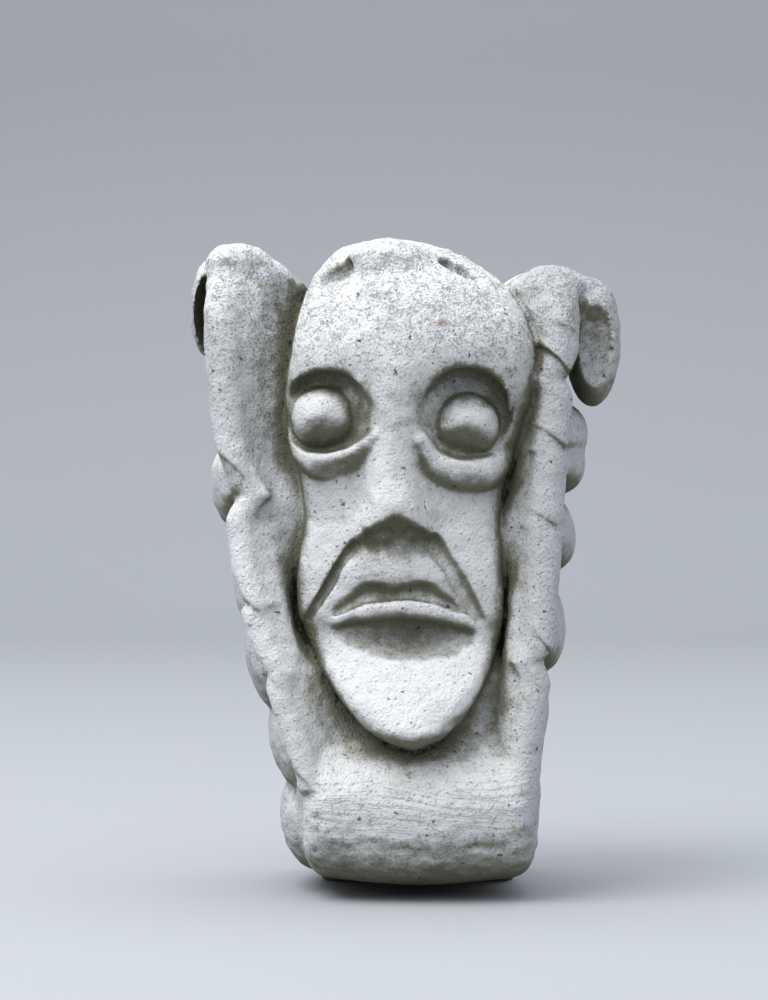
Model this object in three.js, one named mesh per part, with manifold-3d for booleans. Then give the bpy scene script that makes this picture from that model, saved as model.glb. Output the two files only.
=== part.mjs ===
// A carved stone mask: a long goggle-eyed face in a close cap, between two fleshy leaves that
// curl over at the top, on a block that is built into a wall.
// Millimetres. X runs to the viewer's right and Z up; the mask looks along -Y from the wall, y = 0.
// Points are written [x, depth, height] and may end in a radius. Depth is measured out from the
// wall, height from the middle of the back.

import * as THREE from "three";
import Module from "manifold-3d";

// Driving sizes
const CROWN_Z = 152.5;
const EYE_LINE_Z = 79;
const JAW_Z = -20;
const CHIN_Z = -81.5;
const FOOT_Z = -150;
const BLOCK_TOP_Z = 118;
const TEMPLE_HALF_WIDTH = 56.8;
const JAW_HALF_WIDTH = 46.5;
const NOSE_TIP_DEPTH = 128.5;
const NOSE_BASE_Z = 22.5;
const FOLD_SLOPE = 0.72;
const MOST_TAPER = 2.5;
const ROLL_HALF_WIDTH = 53;
const WALL_OVERRUN = 14;
const FAR = 18;
const GRID_STEP = 3.4;
const EVENING = 9;
const FACETS = 9600;
const PAINT = 0xd9d9d4;

// Heights down the middle of the face, each with the depth of the surface there
const FACE_PROFILE = [
  [CROWN_Z, 84], [147.5, 96], [141, 106], [130, 117], [114, 125], [96, 128], [82, 124], [66, 117],
  [50, 113], [25, 112.5], [-5, 116], [-30, 119], [-45, 124.5], [-58, 132.5], [-68, 138.5],
  [-73.5, 140.5], [-78, 137], [CHIN_Z, 130],
];
// How far the face falls back at its edges, and how its middle line leans
const FACE_ROUNDING = [[150, 10], [141, 22], [126, 26], [99, 22], [49, 15], [22, 10], [-82, 7]];
const FACE_LEAN = [[CROWN_Z, -5.5], [143, -1], [33, 1], [JAW_Z, 0.5], [-45, 2.5], [CHIN_Z, 5.5]];
const CHEEK_WIDTHS = [
  [EYE_LINE_Z, TEMPLE_HALF_WIDTH], [65, 55], [49, 50], [33, 45.5], [0, 46.5], [JAW_Z, JAW_HALF_WIDTH],
];

const NOSE = [
  [-1.5, 120, 88, 8], [-2, 118, 76, 9], [-2.5, 114.5, 58, 10], [-3, 113.5, 40, 12],
  [-2.5, 115.5, 27.5, 13], [-2.5, 116, 17.5, 13.5],
];
const FOLDS = [
  [
    [-11, 124.5, 12.5, 3.6], [-19, 114.5, 10, 4.6], [-25.5, 112, 4.5, 4.8], [-30, 111.5, -4, 4.7],
    [-38, 110.5, -18, 4.4], [-44, 105.5, -25, 3.8],
  ],
  [
    [5.5, 125, 15, 3.6], [11, 119.5, 15, 4.4], [17, 113.5, 9, 4.8], [22.5, 113, 0.5, 4.8],
    [31, 113.5, -15, 4.2], [35.5, 114, -23, 3],
  ],
];
const LOWER_LIP = [
  [-28, 112, -22.5, 2.6], [-21, 114.5, -19.5, 3.5], [-12, 117, -18, 4.1], [-2, 118, -17.5, 4.3],
  [7, 117.5, -18, 4.1], [16, 115.5, -20, 3.4], [29, 112.5, -23, 2.6],
];
const MOUTH = [
  [-31.5, 115.5, -22, 1.4], [-24.5, 117.5, -18, 1.6], [-15.5, 118, -14, 1.8],
  [-2.5, 118.5, -12.8, 1.9], [9, 118, -13.4, 1.8], [18, 117, -16.4, 1.6], [30, 116.5, -21, 1.2],
];
const UPPER_LIP_HOLLOW = [
  [-28, 117.5, -19, 3.4], [-16, 120.5, -14, 5.4], [-2.5, 122.5, -12.5, 6.2],
  [9.5, 121.5, -12.5, 5.6], [20, 119, -15.5, 4.4],
];
const CHIN_HOLLOW = [
  [-25, 119, -27, 4.6], [-13, 120.5, -28, 8.4], [0, 121, -28.5, 9.6], [13, 120.5, -28.5, 8.4],
  [26, 119.5, -29, 4.8],
];
const NOSTRILS = [
  { centre: [-7, 124.5, 16.5], radii: [5.2, 6, 3.6] },
  { centre: [6, 125, 17], radii: [4.6, 6, 3.4] },
];
const SOCKETS = [
  { centre: [-34, 112.5, 72], radii: [18.6, 12, 18.8], edge: 1.8 },
  { centre: [-18, 118, 74.5], radii: [9.5, 7.5, 11], edge: 2.5 },
  { centre: [30, 113.5, 71], radii: [20.2, 12, 20.5], edge: 1.8 },
];
const EYEBALLS = [
  { centre: [-34, 100.5, 68], radii: [16, 16.5, 15], tip_z: 68, tip_depth: 117 },
  { centre: [29.5, 102, 65], radii: [16.2, 16.5, 15.2], tip_z: 65, tip_depth: 118.5 },
];
const EYE_SLANT = 1.25;
// Bags under the eyes; the underside starts from a lip at this height and depth
const EYE_BAGS = [
  {
    path: [
      [-51, 95.5, 63, 4], [-47, 97, 54.5, 6.5], [-37.5, 103.5, 49, 8.4], [-26.5, 108.5, 49.5, 8],
      [-17, 114, 54.5, 5.5], [-11, 120, 60, 3.5],
    ],
    lip_z: 47,
    lip_depth: 113,
  },
  {
    path: [
      [9.5, 116.5, 58, 5], [15, 111.5, 48.5, 7.4], [26.5, 108.5, 43.5, 9.2], [38.5, 102.5, 44.5, 8.4],
      [47, 95.5, 51, 6], [51, 93, 58.5, 4],
    ],
    lip_z: 43,
    lip_depth: 117,
  },
];
const CROWN_BUMP = { centre: [-5.5, 99, 140], radii: [20, 12, 10] };
const CROWN_DENTS = [
  [[-30, 98, 137, 5], [-37.5, 100.5, 131, 4.2]],
  [[23.5, 101, 137.5, 4.6], [31, 101.5, 133.5, 4.4]],
];

// Each leaf is a thick web from its outer rim over a bend to its root beside the head.
// Rows are [height, x, depth, radius]; x of a rim is its outer edge. A notch is
// [height, cut, reach above, reach below]. A fold is [x, height, slope, how far the lobe above
// stands out over it, how far up that lobe swells].
const LEFT_LEAF = {
  side: -1,
  rim: [
    [139, -88, 84, 8.5], [123, -89.5, 92, 8.5], [63, -85.5, 100, 8], [20, -79.5, 104, 7],
    [-20, -72, 112, 6.5], [-59, -58.5, 118, 6], [-95, -46, 119, 6],
  ],
  bend: [
    [131, -66.5, 80, 8], [105, -72, 89, 7.5], [63, -71.5, 93, 7], [31, -65, 95, 6.5],
    [-23, -56.5, 105, 6.5], [-60, -45.5, 111, 6], [-95, -39, 114, 6],
  ],
  root: [
    [125, -50.5, 66, 9], [105, -52, 72, 9], [55, -52, 76, 9], [15, -48, 78, 9], [-4, -46, 68, 8],
    [-16, -44.5, 54, 8], [-28, -42, 58, 8], [-42, -38, 86, 9], [-62, -30.5, 98, 9],
    [-96, -22, 100, 10],
  ],
  tops: [139, 132, 124],
  notches: [[33, 8, 26, 13], [-16, 4, 14, 4], [-47, 3.5, 16, 8]],
  folds: [
    [-76, 50, -0.2, 3.2, 30], [-67, -17, -0.35, 3.4, 34], [-60, -47, -0.6, 3.2, 26],
    [-46, -91, -0.75, 3.2, 36],
  ],
};
const RIGHT_LEAF = {
  side: 1,
  rim: [
    [133, 81, 84, 9], [123, 83, 90, 9.5], [104, 82, 95, 9.5], [68, 78, 100, 8.5], [31, 75, 105, 8],
    [-20, 71.5, 111, 7.5], [-66, 66.5, 117, 7.5], [-100, 62, 118, 7.5],
  ],
  bend: [
    [125, 60.5, 82, 9], [105, 63, 86, 9], [77, 64.5, 89, 8.5], [31, 61.5, 94, 8],
    [-33, 56.5, 103, 7.5], [-68, 54.5, 110, 7.5], [-100, 52.5, 113, 8],
  ],
  root: [
    [123, 53, 76, 9], [106, 55, 82, 9], [77, 55, 84, 9], [55, 54, 72, 9], [38, 52, 66, 9],
    [18, 51, 78, 9], [-3, 50.5, 76, 8], [-16, 50.5, 60, 8], [-30, 49.5, 58, 8], [-45, 48, 72, 8],
    [-62, 46.5, 88, 9], [-101, 49.5, 100, 10],
  ],
  tops: [129, 125.5, 122],
  notches: [[86, 4.5, 14, 8], [54, 1.5, 10, 3], [20, 1.5, 6, 6], [-42, 4.5, 10, 10]],
  folds: [
    [72, 111, -0.3, 1.4, 12], [66, 99.5, -0.76, 3.6, 26], [66, 61, -0.63, 3.6, 32],
    [63, 24, -0.43, 3.2, 30], [59, -27, -1.05, 3.4, 40],
  ],
};
const LEAF_FOOT_Z = -96;
const FOLD_EDGE = 2;

// The flank behind each leaf, in drooping lobes: middle, half sizes and lean in degrees
const FLANK_LOBES = [
  { centre: [-73, 58, 39.5], radii: [15.5, 46, 23], lean: 1 },
  { centre: [-62, 60, -9.5], radii: [15.5, 48, 31], lean: 8 },
  { centre: [-56.5, 62, -43.5], radii: [15, 50, 27], lean: 14 },
  { centre: [-45.5, 64, -82.5], radii: [14.5, 50, 25], lean: 15 },
  { centre: [-40.5, 58, -118.5], radii: [15.5, 46, 24], lean: 7 },
  { centre: [72, 60, 61], radii: [16, 44, 17], lean: -20 },
  { centre: [71.5, 58, 48], radii: [16, 46, 14.5], lean: -6 },
  { centre: [67, 60, 16], radii: [15.5, 48, 20], lean: 13 },
  { centre: [63, 60, -26], radii: [14.6, 50, 24], lean: 8 },
  { centre: [56, 62, -67.5], radii: [14, 50, 29], lean: -3 },
  { centre: [52, 58, -109], radii: [14, 46, 25], lean: -5 },
];

// The tips that curl over beside the head: a lobe with a hollow, and the arch that carries it
const CURLS = [
  {
    lobe: { centre: [90.5, 68, 105], radii: [13, 26, 30] },
    hollow: { centre: [87, 91, 98.5], radii: [11.2, 16, 24] },
    arch: [[52.5, 74, 122, 10], [67.5, 80, 129, 11], [80, 79, 127.5, 10], [90.5, 74, 122.5, 8]],
  },
  {
    lobe: { centre: [-90, 58, 121.5], radii: [8.4, 22, 23] },
    hollow: { centre: [-90.5, 76, 116.5], radii: [5, 22, 19] },
    arch: [[-51, 64, 126.5, 8], [-61.5, 74, 134.5, 9], [-71.5, 80, 140, 9.5], [-80.5, 82, 139, 9.5]],
  },
];

// The roll under the chin, and the block: rows of [height, size]
const ROLL = [[-29.5, 96, -109, 33], [9.5, 98, -110, 35], [48, 96, -109, 33]];
const ROLL_MIDDLE_X = 9.5;
const BLOCK_WIDTHS = [[FOOT_Z, 46], [-130, 50], [-90, 51], [-40, 54], [20, 58], [80, 58], [120, 54]];
const BLOCK_MIDDLES = [[FOOT_Z, 9], [-60, 4], [0, 0], [120, -2]];
const BLOCK_DEPTHS = [
  [FOOT_Z, 50], [-135, 78], [-110, 96], [-80, 104], [-60, 104], [-40, 98], [-24, 78], [0, 60],
  [60, 52], [120, 50],
];

const { clamp, degToRad } = THREE.MathUtils;

// Fields are distances: below nothing inside the stone, above it in the air.
// join and meet round the line where two fields cross, cut takes one out of the other.
function join(a, b, width) {
  const share = clamp(0.5 + (b - a) / (2 * width), 0, 1);
  return b + (a - b) * share - width * share * (1 - share);
}

function meet(a, b, width) {
  return -join(-a, -b, width);
}

function cut(a, b, width) {
  return -join(-a, b, width);
}

function ellipsoid(p, { centre, radii }, lean = 0) {
  const turn = degToRad(lean);
  const across = p[0] - centre[0];
  const up = p[2] - centre[2];
  const x = (across * Math.cos(turn) + up * Math.sin(turn)) / radii[0];
  const y = (p[1] - centre[1]) / radii[1];
  const z = (up * Math.cos(turn) - across * Math.sin(turn)) / radii[2];
  const reach = Math.hypot(x, y, z);
  const slope = Math.hypot(x / radii[0], y / radii[1], z / radii[2]);
  return (reach * (reach - 1)) / Math.max(slope, 1e-6);
}

// A round strand along a smooth path; the radius runs smoothly too.
function strand(path, stepsPerSpan = 4) {
  const line = new THREE.CatmullRomCurve3(
    path.map((p) => new THREE.Vector3(p[0], p[1], p[2])), false, "catmullrom", 0.5);
  const girth = new THREE.CatmullRomCurve3(
    path.map((p) => new THREE.Vector3(p[3], 0, 0)), false, "catmullrom", 0.5);
  const count = (path.length - 1) * stepsPerSpan;
  const points = [];
  for (let i = 0; i <= count; i += 1) {
    const at = line.getPoint(i / count);
    points.push([at.x, at.y, at.z, girth.getPoint(i / count).x]);
  }
  const low = [0, 1, 2].map((axis) => Math.min(...points.map((q) => q[axis] - q[3])));
  const high = [0, 1, 2].map((axis) => Math.max(...points.map((q) => q[axis] + q[3])));
  return (p) => {
    const away = Math.max(...low.map((v, axis) => Math.max(v - p[axis], p[axis] - high[axis])));
    if (away > FAR) {
      return away;
    }
    let nearest = Infinity;
    for (let i = 0; i < count; i += 1) {
      const a = points[i];
      const b = points[i + 1];
      const along = [b[0] - a[0], b[1] - a[1], b[2] - a[2]];
      const from = [p[0] - a[0], p[1] - a[1], p[2] - a[2]];
      const size = along[0] ** 2 + along[1] ** 2 + along[2] ** 2;
      const t = clamp((from[0] * along[0] + from[1] * along[1] + from[2] * along[2]) / size, 0, 1);
      const gap = Math.hypot(from[0] - along[0] * t, from[1] - along[1] * t, from[2] - along[2] * t);
      nearest = Math.min(nearest, gap - a[3] - (b[3] - a[3]) * t);
    }
    return nearest;
  };
}

// A smooth curve through rows of [height, value, ...]; column says which value.
function curve(rows, column = 1) {
  const knots = rows.map((row) => [row[0], row[column]]).sort((a, b) => a[0] - b[0]);
  const last = knots.length - 1;
  const slopes = knots.map((knot, i) => {
    const before = knots[Math.max(i - 1, 0)];
    const after = knots[Math.min(i + 1, last)];
    if (i === 0 || i === last) {
      return (after[1] - before[1]) / (after[0] - before[0]);
    }
    const left = knot[0] - before[0];
    const right = after[0] - knot[0];
    const rise = left * left * (after[1] - knot[1]) + right * right * (knot[1] - before[1]);
    return rise / (left * right * (left + right));
  });
  return (z) => {
    const at = clamp(z, knots[0][0], knots[last][0]);
    let i = 0;
    while (i < last - 1 && at > knots[i + 1][0]) {
      i += 1;
    }
    const span = knots[i + 1][0] - knots[i][0];
    const t = (at - knots[i][0]) / span;
    const ease = t * t * (3 - 2 * t);
    const leave = t * (1 - t) * (1 - t) * span * slopes[i];
    const arrive = t * t * (t - 1) * span * slopes[i + 1];
    return knots[i][1] * (1 - ease) + knots[i + 1][1] * ease + leave + arrive;
  };
}

// The head
const faceDepth = curve(FACE_PROFILE);
const faceRounding = curve(FACE_ROUNDING);
const faceMiddle = curve(FACE_LEAN);
const cheekWidth = curve(CHEEK_WIDTHS);

function headHalfWidth(z) {
  if (z > EYE_LINE_Z) {
    const up = Math.min((z - EYE_LINE_Z) / (CROWN_Z + 0.5 - EYE_LINE_Z), 1);
    return TEMPLE_HALF_WIDTH * Math.sqrt(1 - up ** 2.6);
  }
  if (z < JAW_Z) {
    const down = Math.min((JAW_Z - z) / (JAW_Z - CHIN_Z + 0.5), 1);
    return JAW_HALF_WIDTH * (1 - down ** 1.5) ** 0.62;
  }
  return cheekWidth(z);
}

function head(p) {
  const half = Math.max(headHalfWidth(p[2]), 1);
  const aside = p[0] - faceMiddle(p[2]);
  const round = Math.min((aside / half) ** 2, 1.3);
  const front = faceDepth(p[2]) - faceRounding(p[2]) * round;
  const taper = clamp(headHalfWidth(p[2] + 0.5) - headHalfWidth(p[2] - 0.5), -MOST_TAPER, MOST_TAPER);
  let field = meet((Math.abs(aside) - half) / Math.hypot(1, taper), (p[1] - front) * 0.9, 9);
  field = meet(field, 30 - p[1], 2);
  field = meet(field, p[2] - CROWN_Z, 5);
  return meet(field, CHIN_Z - p[2], 2);
}

const nose = strand(NOSE);
const folds = FOLDS.map((path) => strand(path));
const lowerLip = strand(LOWER_LIP);
const mouth = strand(MOUTH);
const upperLipHollow = strand(UPPER_LIP_HOLLOW);
const chinHollow = strand(CHIN_HOLLOW);
const crownDents = CROWN_DENTS.map((path) => strand(path));
const bags = EYE_BAGS.map((bag) => ({ ...bag, body: strand(bag.path) }));
const MUZZLE = { centre: [-1.5, 102.5, -1], radii: [29, 18, 15] };

function face(p) {
  const bare = head(p);
  // Nose and cheeks overhang the muzzle along an upturned V
  const overhang = NOSE_BASE_Z - FOLD_SLOPE * Math.abs(p[0] + 1.5) + (p[1] - NOSE_TIP_DEPTH) * 0.9;
  const nosed = meet(join(bare, nose(p), 14), (overhang - p[2]) * 0.6, 2.5);
  let field = join(bare, nosed, 2);
  field = join(field, ellipsoid(p, MUZZLE), 6);
  field = join(field, ellipsoid(p, CROWN_BUMP), 6);
  field = cut(field, upperLipHollow(p), 1.6);
  field = join(field, lowerLip(p), 1.6);
  field = cut(field, chinHollow(p), 4);
  field = cut(field, mouth(p), 1.2);
  for (const fold of folds) {
    field = cut(field, fold(p), 3);
  }
  for (const nostril of NOSTRILS) {
    field = cut(field, ellipsoid(p, nostril), 3);
  }
  for (const bag of bags) {
    const underside = (bag.lip_z + (p[1] - bag.lip_depth) * 1.15 - p[2]) * 0.66;
    field = join(field, meet(bag.body(p), underside, 1.5), 1.5);
  }
  for (const socket of SOCKETS) {
    field = cut(field, ellipsoid(p, socket), socket.edge);
  }
  for (const ball of EYEBALLS) {
    // Each ball falls back under its tip
    const under = ball.tip_z + (p[1] - ball.tip_depth) * EYE_SLANT - p[2];
    field = join(field, meet(ellipsoid(p, ball), under / Math.hypot(1, EYE_SLANT), 5), 3);
  }
  for (const dent of crownDents) {
    field = cut(field, dent(p), 2.5);
  }
  return field;
}

// The leaves
function rail(rows, place) {
  return { x: place ?? curve(rows, 1), depth: curve(rows, 2), radius: curve(rows, 3) };
}

function notchedRim(leaf) {
  const edge = curve(leaf.rim, 1);
  const radius = curve(leaf.rim, 3);
  return (z) => {
    let inward = radius(z);
    for (const [at, depth, above, below] of leaf.notches) {
      const away = z > at ? (z - at) / above : (at - z) / below;
      inward += depth * Math.max(1 - away, 0) ** 1.4;
    }
    return edge(z) - leaf.side * inward;
  };
}

// A thick web between two rails, closed round at its top and foot
function web(p, outer, inner, outerTop, innerTop) {
  const z = p[2];
  const from = [inner.x(z), inner.depth(z)];
  const along = [outer.x(z) - from[0], outer.depth(z) - from[1]];
  const dot = (p[0] - from[0]) * along[0] + (p[1] - from[1]) * along[1];
  const t = clamp(dot / (along[0] ** 2 + along[1] ** 2), 0, 1);
  const thick = inner.radius(z) + (outer.radius(z) - inner.radius(z)) * t;
  const over = Math.max(z - innerTop - (outerTop - innerTop) * t, 0) + Math.min(z - LEAF_FOOT_Z, 0);
  const gap = Math.hypot(p[0] - from[0] - along[0] * t, p[1] - from[1] - along[1] * t, over);
  return (gap - thick) * 0.9;
}

// How far the lobes stand out: most just over a fold, less and less up the lobe
function swelling(leaf, p) {
  return leaf.folds.reduce((out, [x, z, slope, height, length]) => {
    const over = p[2] - z - slope * (p[0] - x);
    const fading = clamp(1 - over / length, 0, 1) ** 2;
    return out + height * fading * THREE.MathUtils.smoothstep(over, -FOLD_EDGE, FOLD_EDGE);
  }, 0);
}

function leafField(leaf) {
  const rim = rail(leaf.rim, notchedRim(leaf));
  const bend = rail(leaf.bend);
  const root = rail(leaf.root);
  return (p) => {
    const [rimTop, bendTop, rootTop] = leaf.tops;
    const q = [p[0], p[1] - swelling(leaf, p), p[2]];
    return join(web(q, rim, bend, rimTop, bendTop), web(q, bend, root, bendTop, rootTop), 4);
  };
}

const leafFields = [leafField(LEFT_LEAF), leafField(RIGHT_LEAF)];
const curls = CURLS.map((curl) => ({ ...curl, bow: strand(curl.arch) }));

function foliage(p) {
  let field = Math.min(leafFields[0](p), leafFields[1](p));
  for (const lobe of FLANK_LOBES) {
    field = join(field, ellipsoid(p, lobe, lobe.lean), 3);
  }
  for (const curl of curls) {
    const whole = join(ellipsoid(p, curl.lobe), curl.bow(p), 5);
    field = join(field, cut(whole, ellipsoid(p, curl.hollow), 3), 3);
  }
  return field;
}

// The block and the roll it carries
const blockWidth = curve(BLOCK_WIDTHS);
const blockMiddle = curve(BLOCK_MIDDLES);
const blockDepth = curve(BLOCK_DEPTHS);
const roll = strand(ROLL);

function block(p) {
  const sides = Math.abs(p[0] - blockMiddle(p[2])) - blockWidth(p[2]);
  let field = meet(sides, p[1] - blockDepth(p[2]), 14);
  field = meet(field, p[2] - BLOCK_TOP_Z, 4);
  const neck = meet(roll(p), Math.abs(p[0] - ROLL_MIDDLE_X) - ROLL_HALF_WIDTH, 12);
  return join(field, neck, 14);
}

// The carved surface runs on behind the wall plane and below the foot, where it is sawn flat
function mask(p) {
  let field = join(block(p), foliage(p), 3);
  field = join(field, face(p), 9);
  return Math.max(field, -WALL_OVERRUN - p[1], FOOT_Z - WALL_OVERRUN - p[2]);
}

// The nodes of one sign that can be walked to from a node, side by side
function reachedFrom(start, values, size, sign) {
  const strides = [size[1] * size[2], size[2], 1];
  const reached = new Uint8Array(values.length);
  const front = [start];
  reached[start] = 1;
  while (front.length > 0) {
    const node = front.pop();
    strides.forEach((stride, axis) => {
      const place = Math.floor(node / stride) % size[axis];
      for (const way of [-1, 1]) {
        const next = node + way * stride;
        if (place + way >= 0 && place + way < size[axis] && !reached[next] && values[next] * sign > 0) {
          reached[next] = 1;
          front.push(next);
        }
      }
    });
  }
  return reached;
}

// The surface of a field, sampled on a grid whose cells are split into six wedges each
function surfaceOf(field, low, high, step) {
  const size = low.map((from, axis) => Math.ceil((high[axis] - from) / step) + 1);
  const [nx, ny, nz] = size;
  const nodeAt = (i, j, k) => (i * ny + j) * nz + k;
  const values = new Float64Array(nx * ny * nz);
  for (let i = 0; i < nx; i += 1) {
    for (let j = 0; j < ny; j += 1) {
      for (let k = 0; k < nz; k += 1) {
        const p = [low[0] + i * step, low[1] + j * step, low[2] + k * step];
        const value = field(p);
        values[nodeAt(i, j, k)] = Math.abs(value) < 0.01 ? 0.01 : value;
      }
    }
  }
  // Air shut in by stone is filled, and stone cut off from the block is dropped
  const heart = nodeAt(nx >> 1, Math.round((BLOCK_DEPTHS[0][1] / 2 - low[1]) / step), nz >> 1);
  for (const [start, sign] of [[0, 1], [heart, -1]]) {
    const reached = reachedFrom(start, values, size, sign);
    values.forEach((value, node) => {
      if (value * sign > 0 && !reached[node]) {
        values[node] = -value;
      }
    });
  }
  const spot = (node) => {
    const k = node % nz;
    const j = Math.floor(node / nz) % ny;
    const i = Math.floor(node / (nz * ny));
    return [low[0] + i * step, low[1] + j * step, low[2] + k * step];
  };
  const found = new Map();
  const points = [];
  const crossing = (a, b) => {
    const key = a < b ? a * values.length + b : b * values.length + a;
    if (!found.has(key)) {
      const t = clamp(values[a] / (values[a] - values[b]), 0.08, 0.92);
      const [from, to] = [spot(a), spot(b)];
      found.set(key, points.length);
      points.push(from.map((v, axis) => v + (to[axis] - v) * t));
    }
    return found.get(key);
  };
  const faces = [];
  const addFace = (a, b, c, inside, outside) => {
    const [pa, pb, pc] = [points[a], points[b], points[c]];
    const u = pb.map((v, axis) => v - pa[axis]);
    const w = pc.map((v, axis) => v - pa[axis]);
    const out = outside.map((v, axis) => v - inside[axis]);
    const normal = [u[1] * w[2] - u[2] * w[1], u[2] * w[0] - u[0] * w[2], u[0] * w[1] - u[1] * w[0]];
    const facing = normal[0] * out[0] + normal[1] * out[1] + normal[2] * out[2];
    faces.push(facing > 0 ? [a, b, c] : [a, c, b]);
  };
  const orders = [[0, 1, 2], [0, 2, 1], [1, 0, 2], [1, 2, 0], [2, 0, 1], [2, 1, 0]];
  const middle = (nodes) => {
    const all = nodes.map(spot);
    return [0, 1, 2].map((axis) => all.reduce((sum, s) => sum + s[axis], 0) / all.length);
  };
  for (let i = 0; i < nx - 1; i += 1) {
    for (let j = 0; j < ny - 1; j += 1) {
      for (let k = 0; k < nz - 1; k += 1) {
        for (const order of orders) {
          const corner = [i, j, k];
          const wedge = [nodeAt(...corner)];
          for (const axis of order) {
            corner[axis] += 1;
            wedge.push(nodeAt(...corner));
          }
          const inner = wedge.filter((node) => values[node] < 0);
          const outer = wedge.filter((node) => values[node] >= 0);
          if (inner.length === 0 || outer.length === 0) {
            continue;
          }
          const [inside, outside] = [middle(inner), middle(outer)];
          if (inner.length === 2) {
            const ring = [
              crossing(inner[0], outer[0]), crossing(inner[0], outer[1]),
              crossing(inner[1], outer[1]), crossing(inner[1], outer[0]),
            ];
            addFace(ring[0], ring[1], ring[2], inside, outside);
            addFace(ring[0], ring[2], ring[3], inside, outside);
          } else {
            const [lone, others] = inner.length === 1 ? [inner[0], outer] : [outer[0], inner];
            const [a, b, c] = others.map((node) => crossing(lone, node));
            addFace(a, b, c, inside, outside);
          }
        }
      }
    }
  }
  return { points, faces };
}

// Evens out the grid's steps: each pass draws every point to its neighbours and then pushes it
// back out, so that the form doesn't shrink
function evened({ points, faces }, passes) {
  const near = points.map(() => new Set());
  for (const [a, b, c] of faces) {
    near[a].add(b).add(c);
    near[b].add(a).add(c);
    near[c].add(a).add(b);
  }
  let moved = points;
  for (let pass = 0; pass < passes; pass += 1) {
    for (const share of [0.5, -0.52]) {
      const before = moved;
      moved = before.map((point, index) => {
        const around = [...near[index]];
        return point.map((v, axis) => {
          const mean = around.reduce((sum, other) => sum + before[other][axis], 0) / around.length;
          return v + (mean - v) * share;
        });
      });
    }
  }
  return { points: moved, faces };
}

// Squared distance from a set of planes, as the ten sums it needs
function planeSums(a, b, c) {
  const normal = new THREE.Vector3().crossVectors(
    new THREE.Vector3(...b).sub(new THREE.Vector3(...a)),
    new THREE.Vector3(...c).sub(new THREE.Vector3(...a)));
  const area = normal.length() / 2;
  if (area < 1e-9) {
    return new Float64Array(10);
  }
  normal.normalize();
  const { x, y, z } = normal;
  const w = -(x * a[0] + y * a[1] + z * a[2]);
  return Float64Array.from([x * x, x * y, x * z, x * w, y * y, y * z, y * w, z * z, z * w, w * w],
    (v) => v * area);
}

function planeError(q, p) {
  const [x, y, z] = p;
  return q[0] * x * x + 2 * q[1] * x * y + 2 * q[2] * x * z + 2 * q[3] * x
    + q[4] * y * y + 2 * q[5] * y * z + 2 * q[6] * y + q[7] * z * z + 2 * q[8] * z + q[9];
}

function bestPoint(q, a, b) {
  const middle = a.map((v, axis) => (v + b[axis]) / 2);
  const m = new THREE.Matrix3().set(q[0], q[1], q[2], q[1], q[4], q[5], q[2], q[5], q[7]);
  const trace = q[0] + q[4] + q[7];
  if (m.determinant() > 1e-3 * (trace / 3) ** 3) {
    const at = new THREE.Vector3(-q[3], -q[6], -q[8]).applyMatrix3(m.invert());
    const off = Math.hypot(at.x - middle[0], at.y - middle[1], at.z - middle[2]);
    if (off < 0.6 * Math.hypot(a[0] - b[0], a[1] - b[1], a[2] - b[2])) {
      return at.toArray();
    }
  }
  return middle;
}

function faceNormal(a, b, c) {
  const u = [b[0] - a[0], b[1] - a[1], b[2] - a[2]];
  const w = [c[0] - a[0], c[1] - a[1], c[2] - a[2]];
  return [u[1] * w[2] - u[2] * w[1], u[2] * w[0] - u[0] * w[2], u[0] * w[1] - u[1] * w[0]];
}

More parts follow.
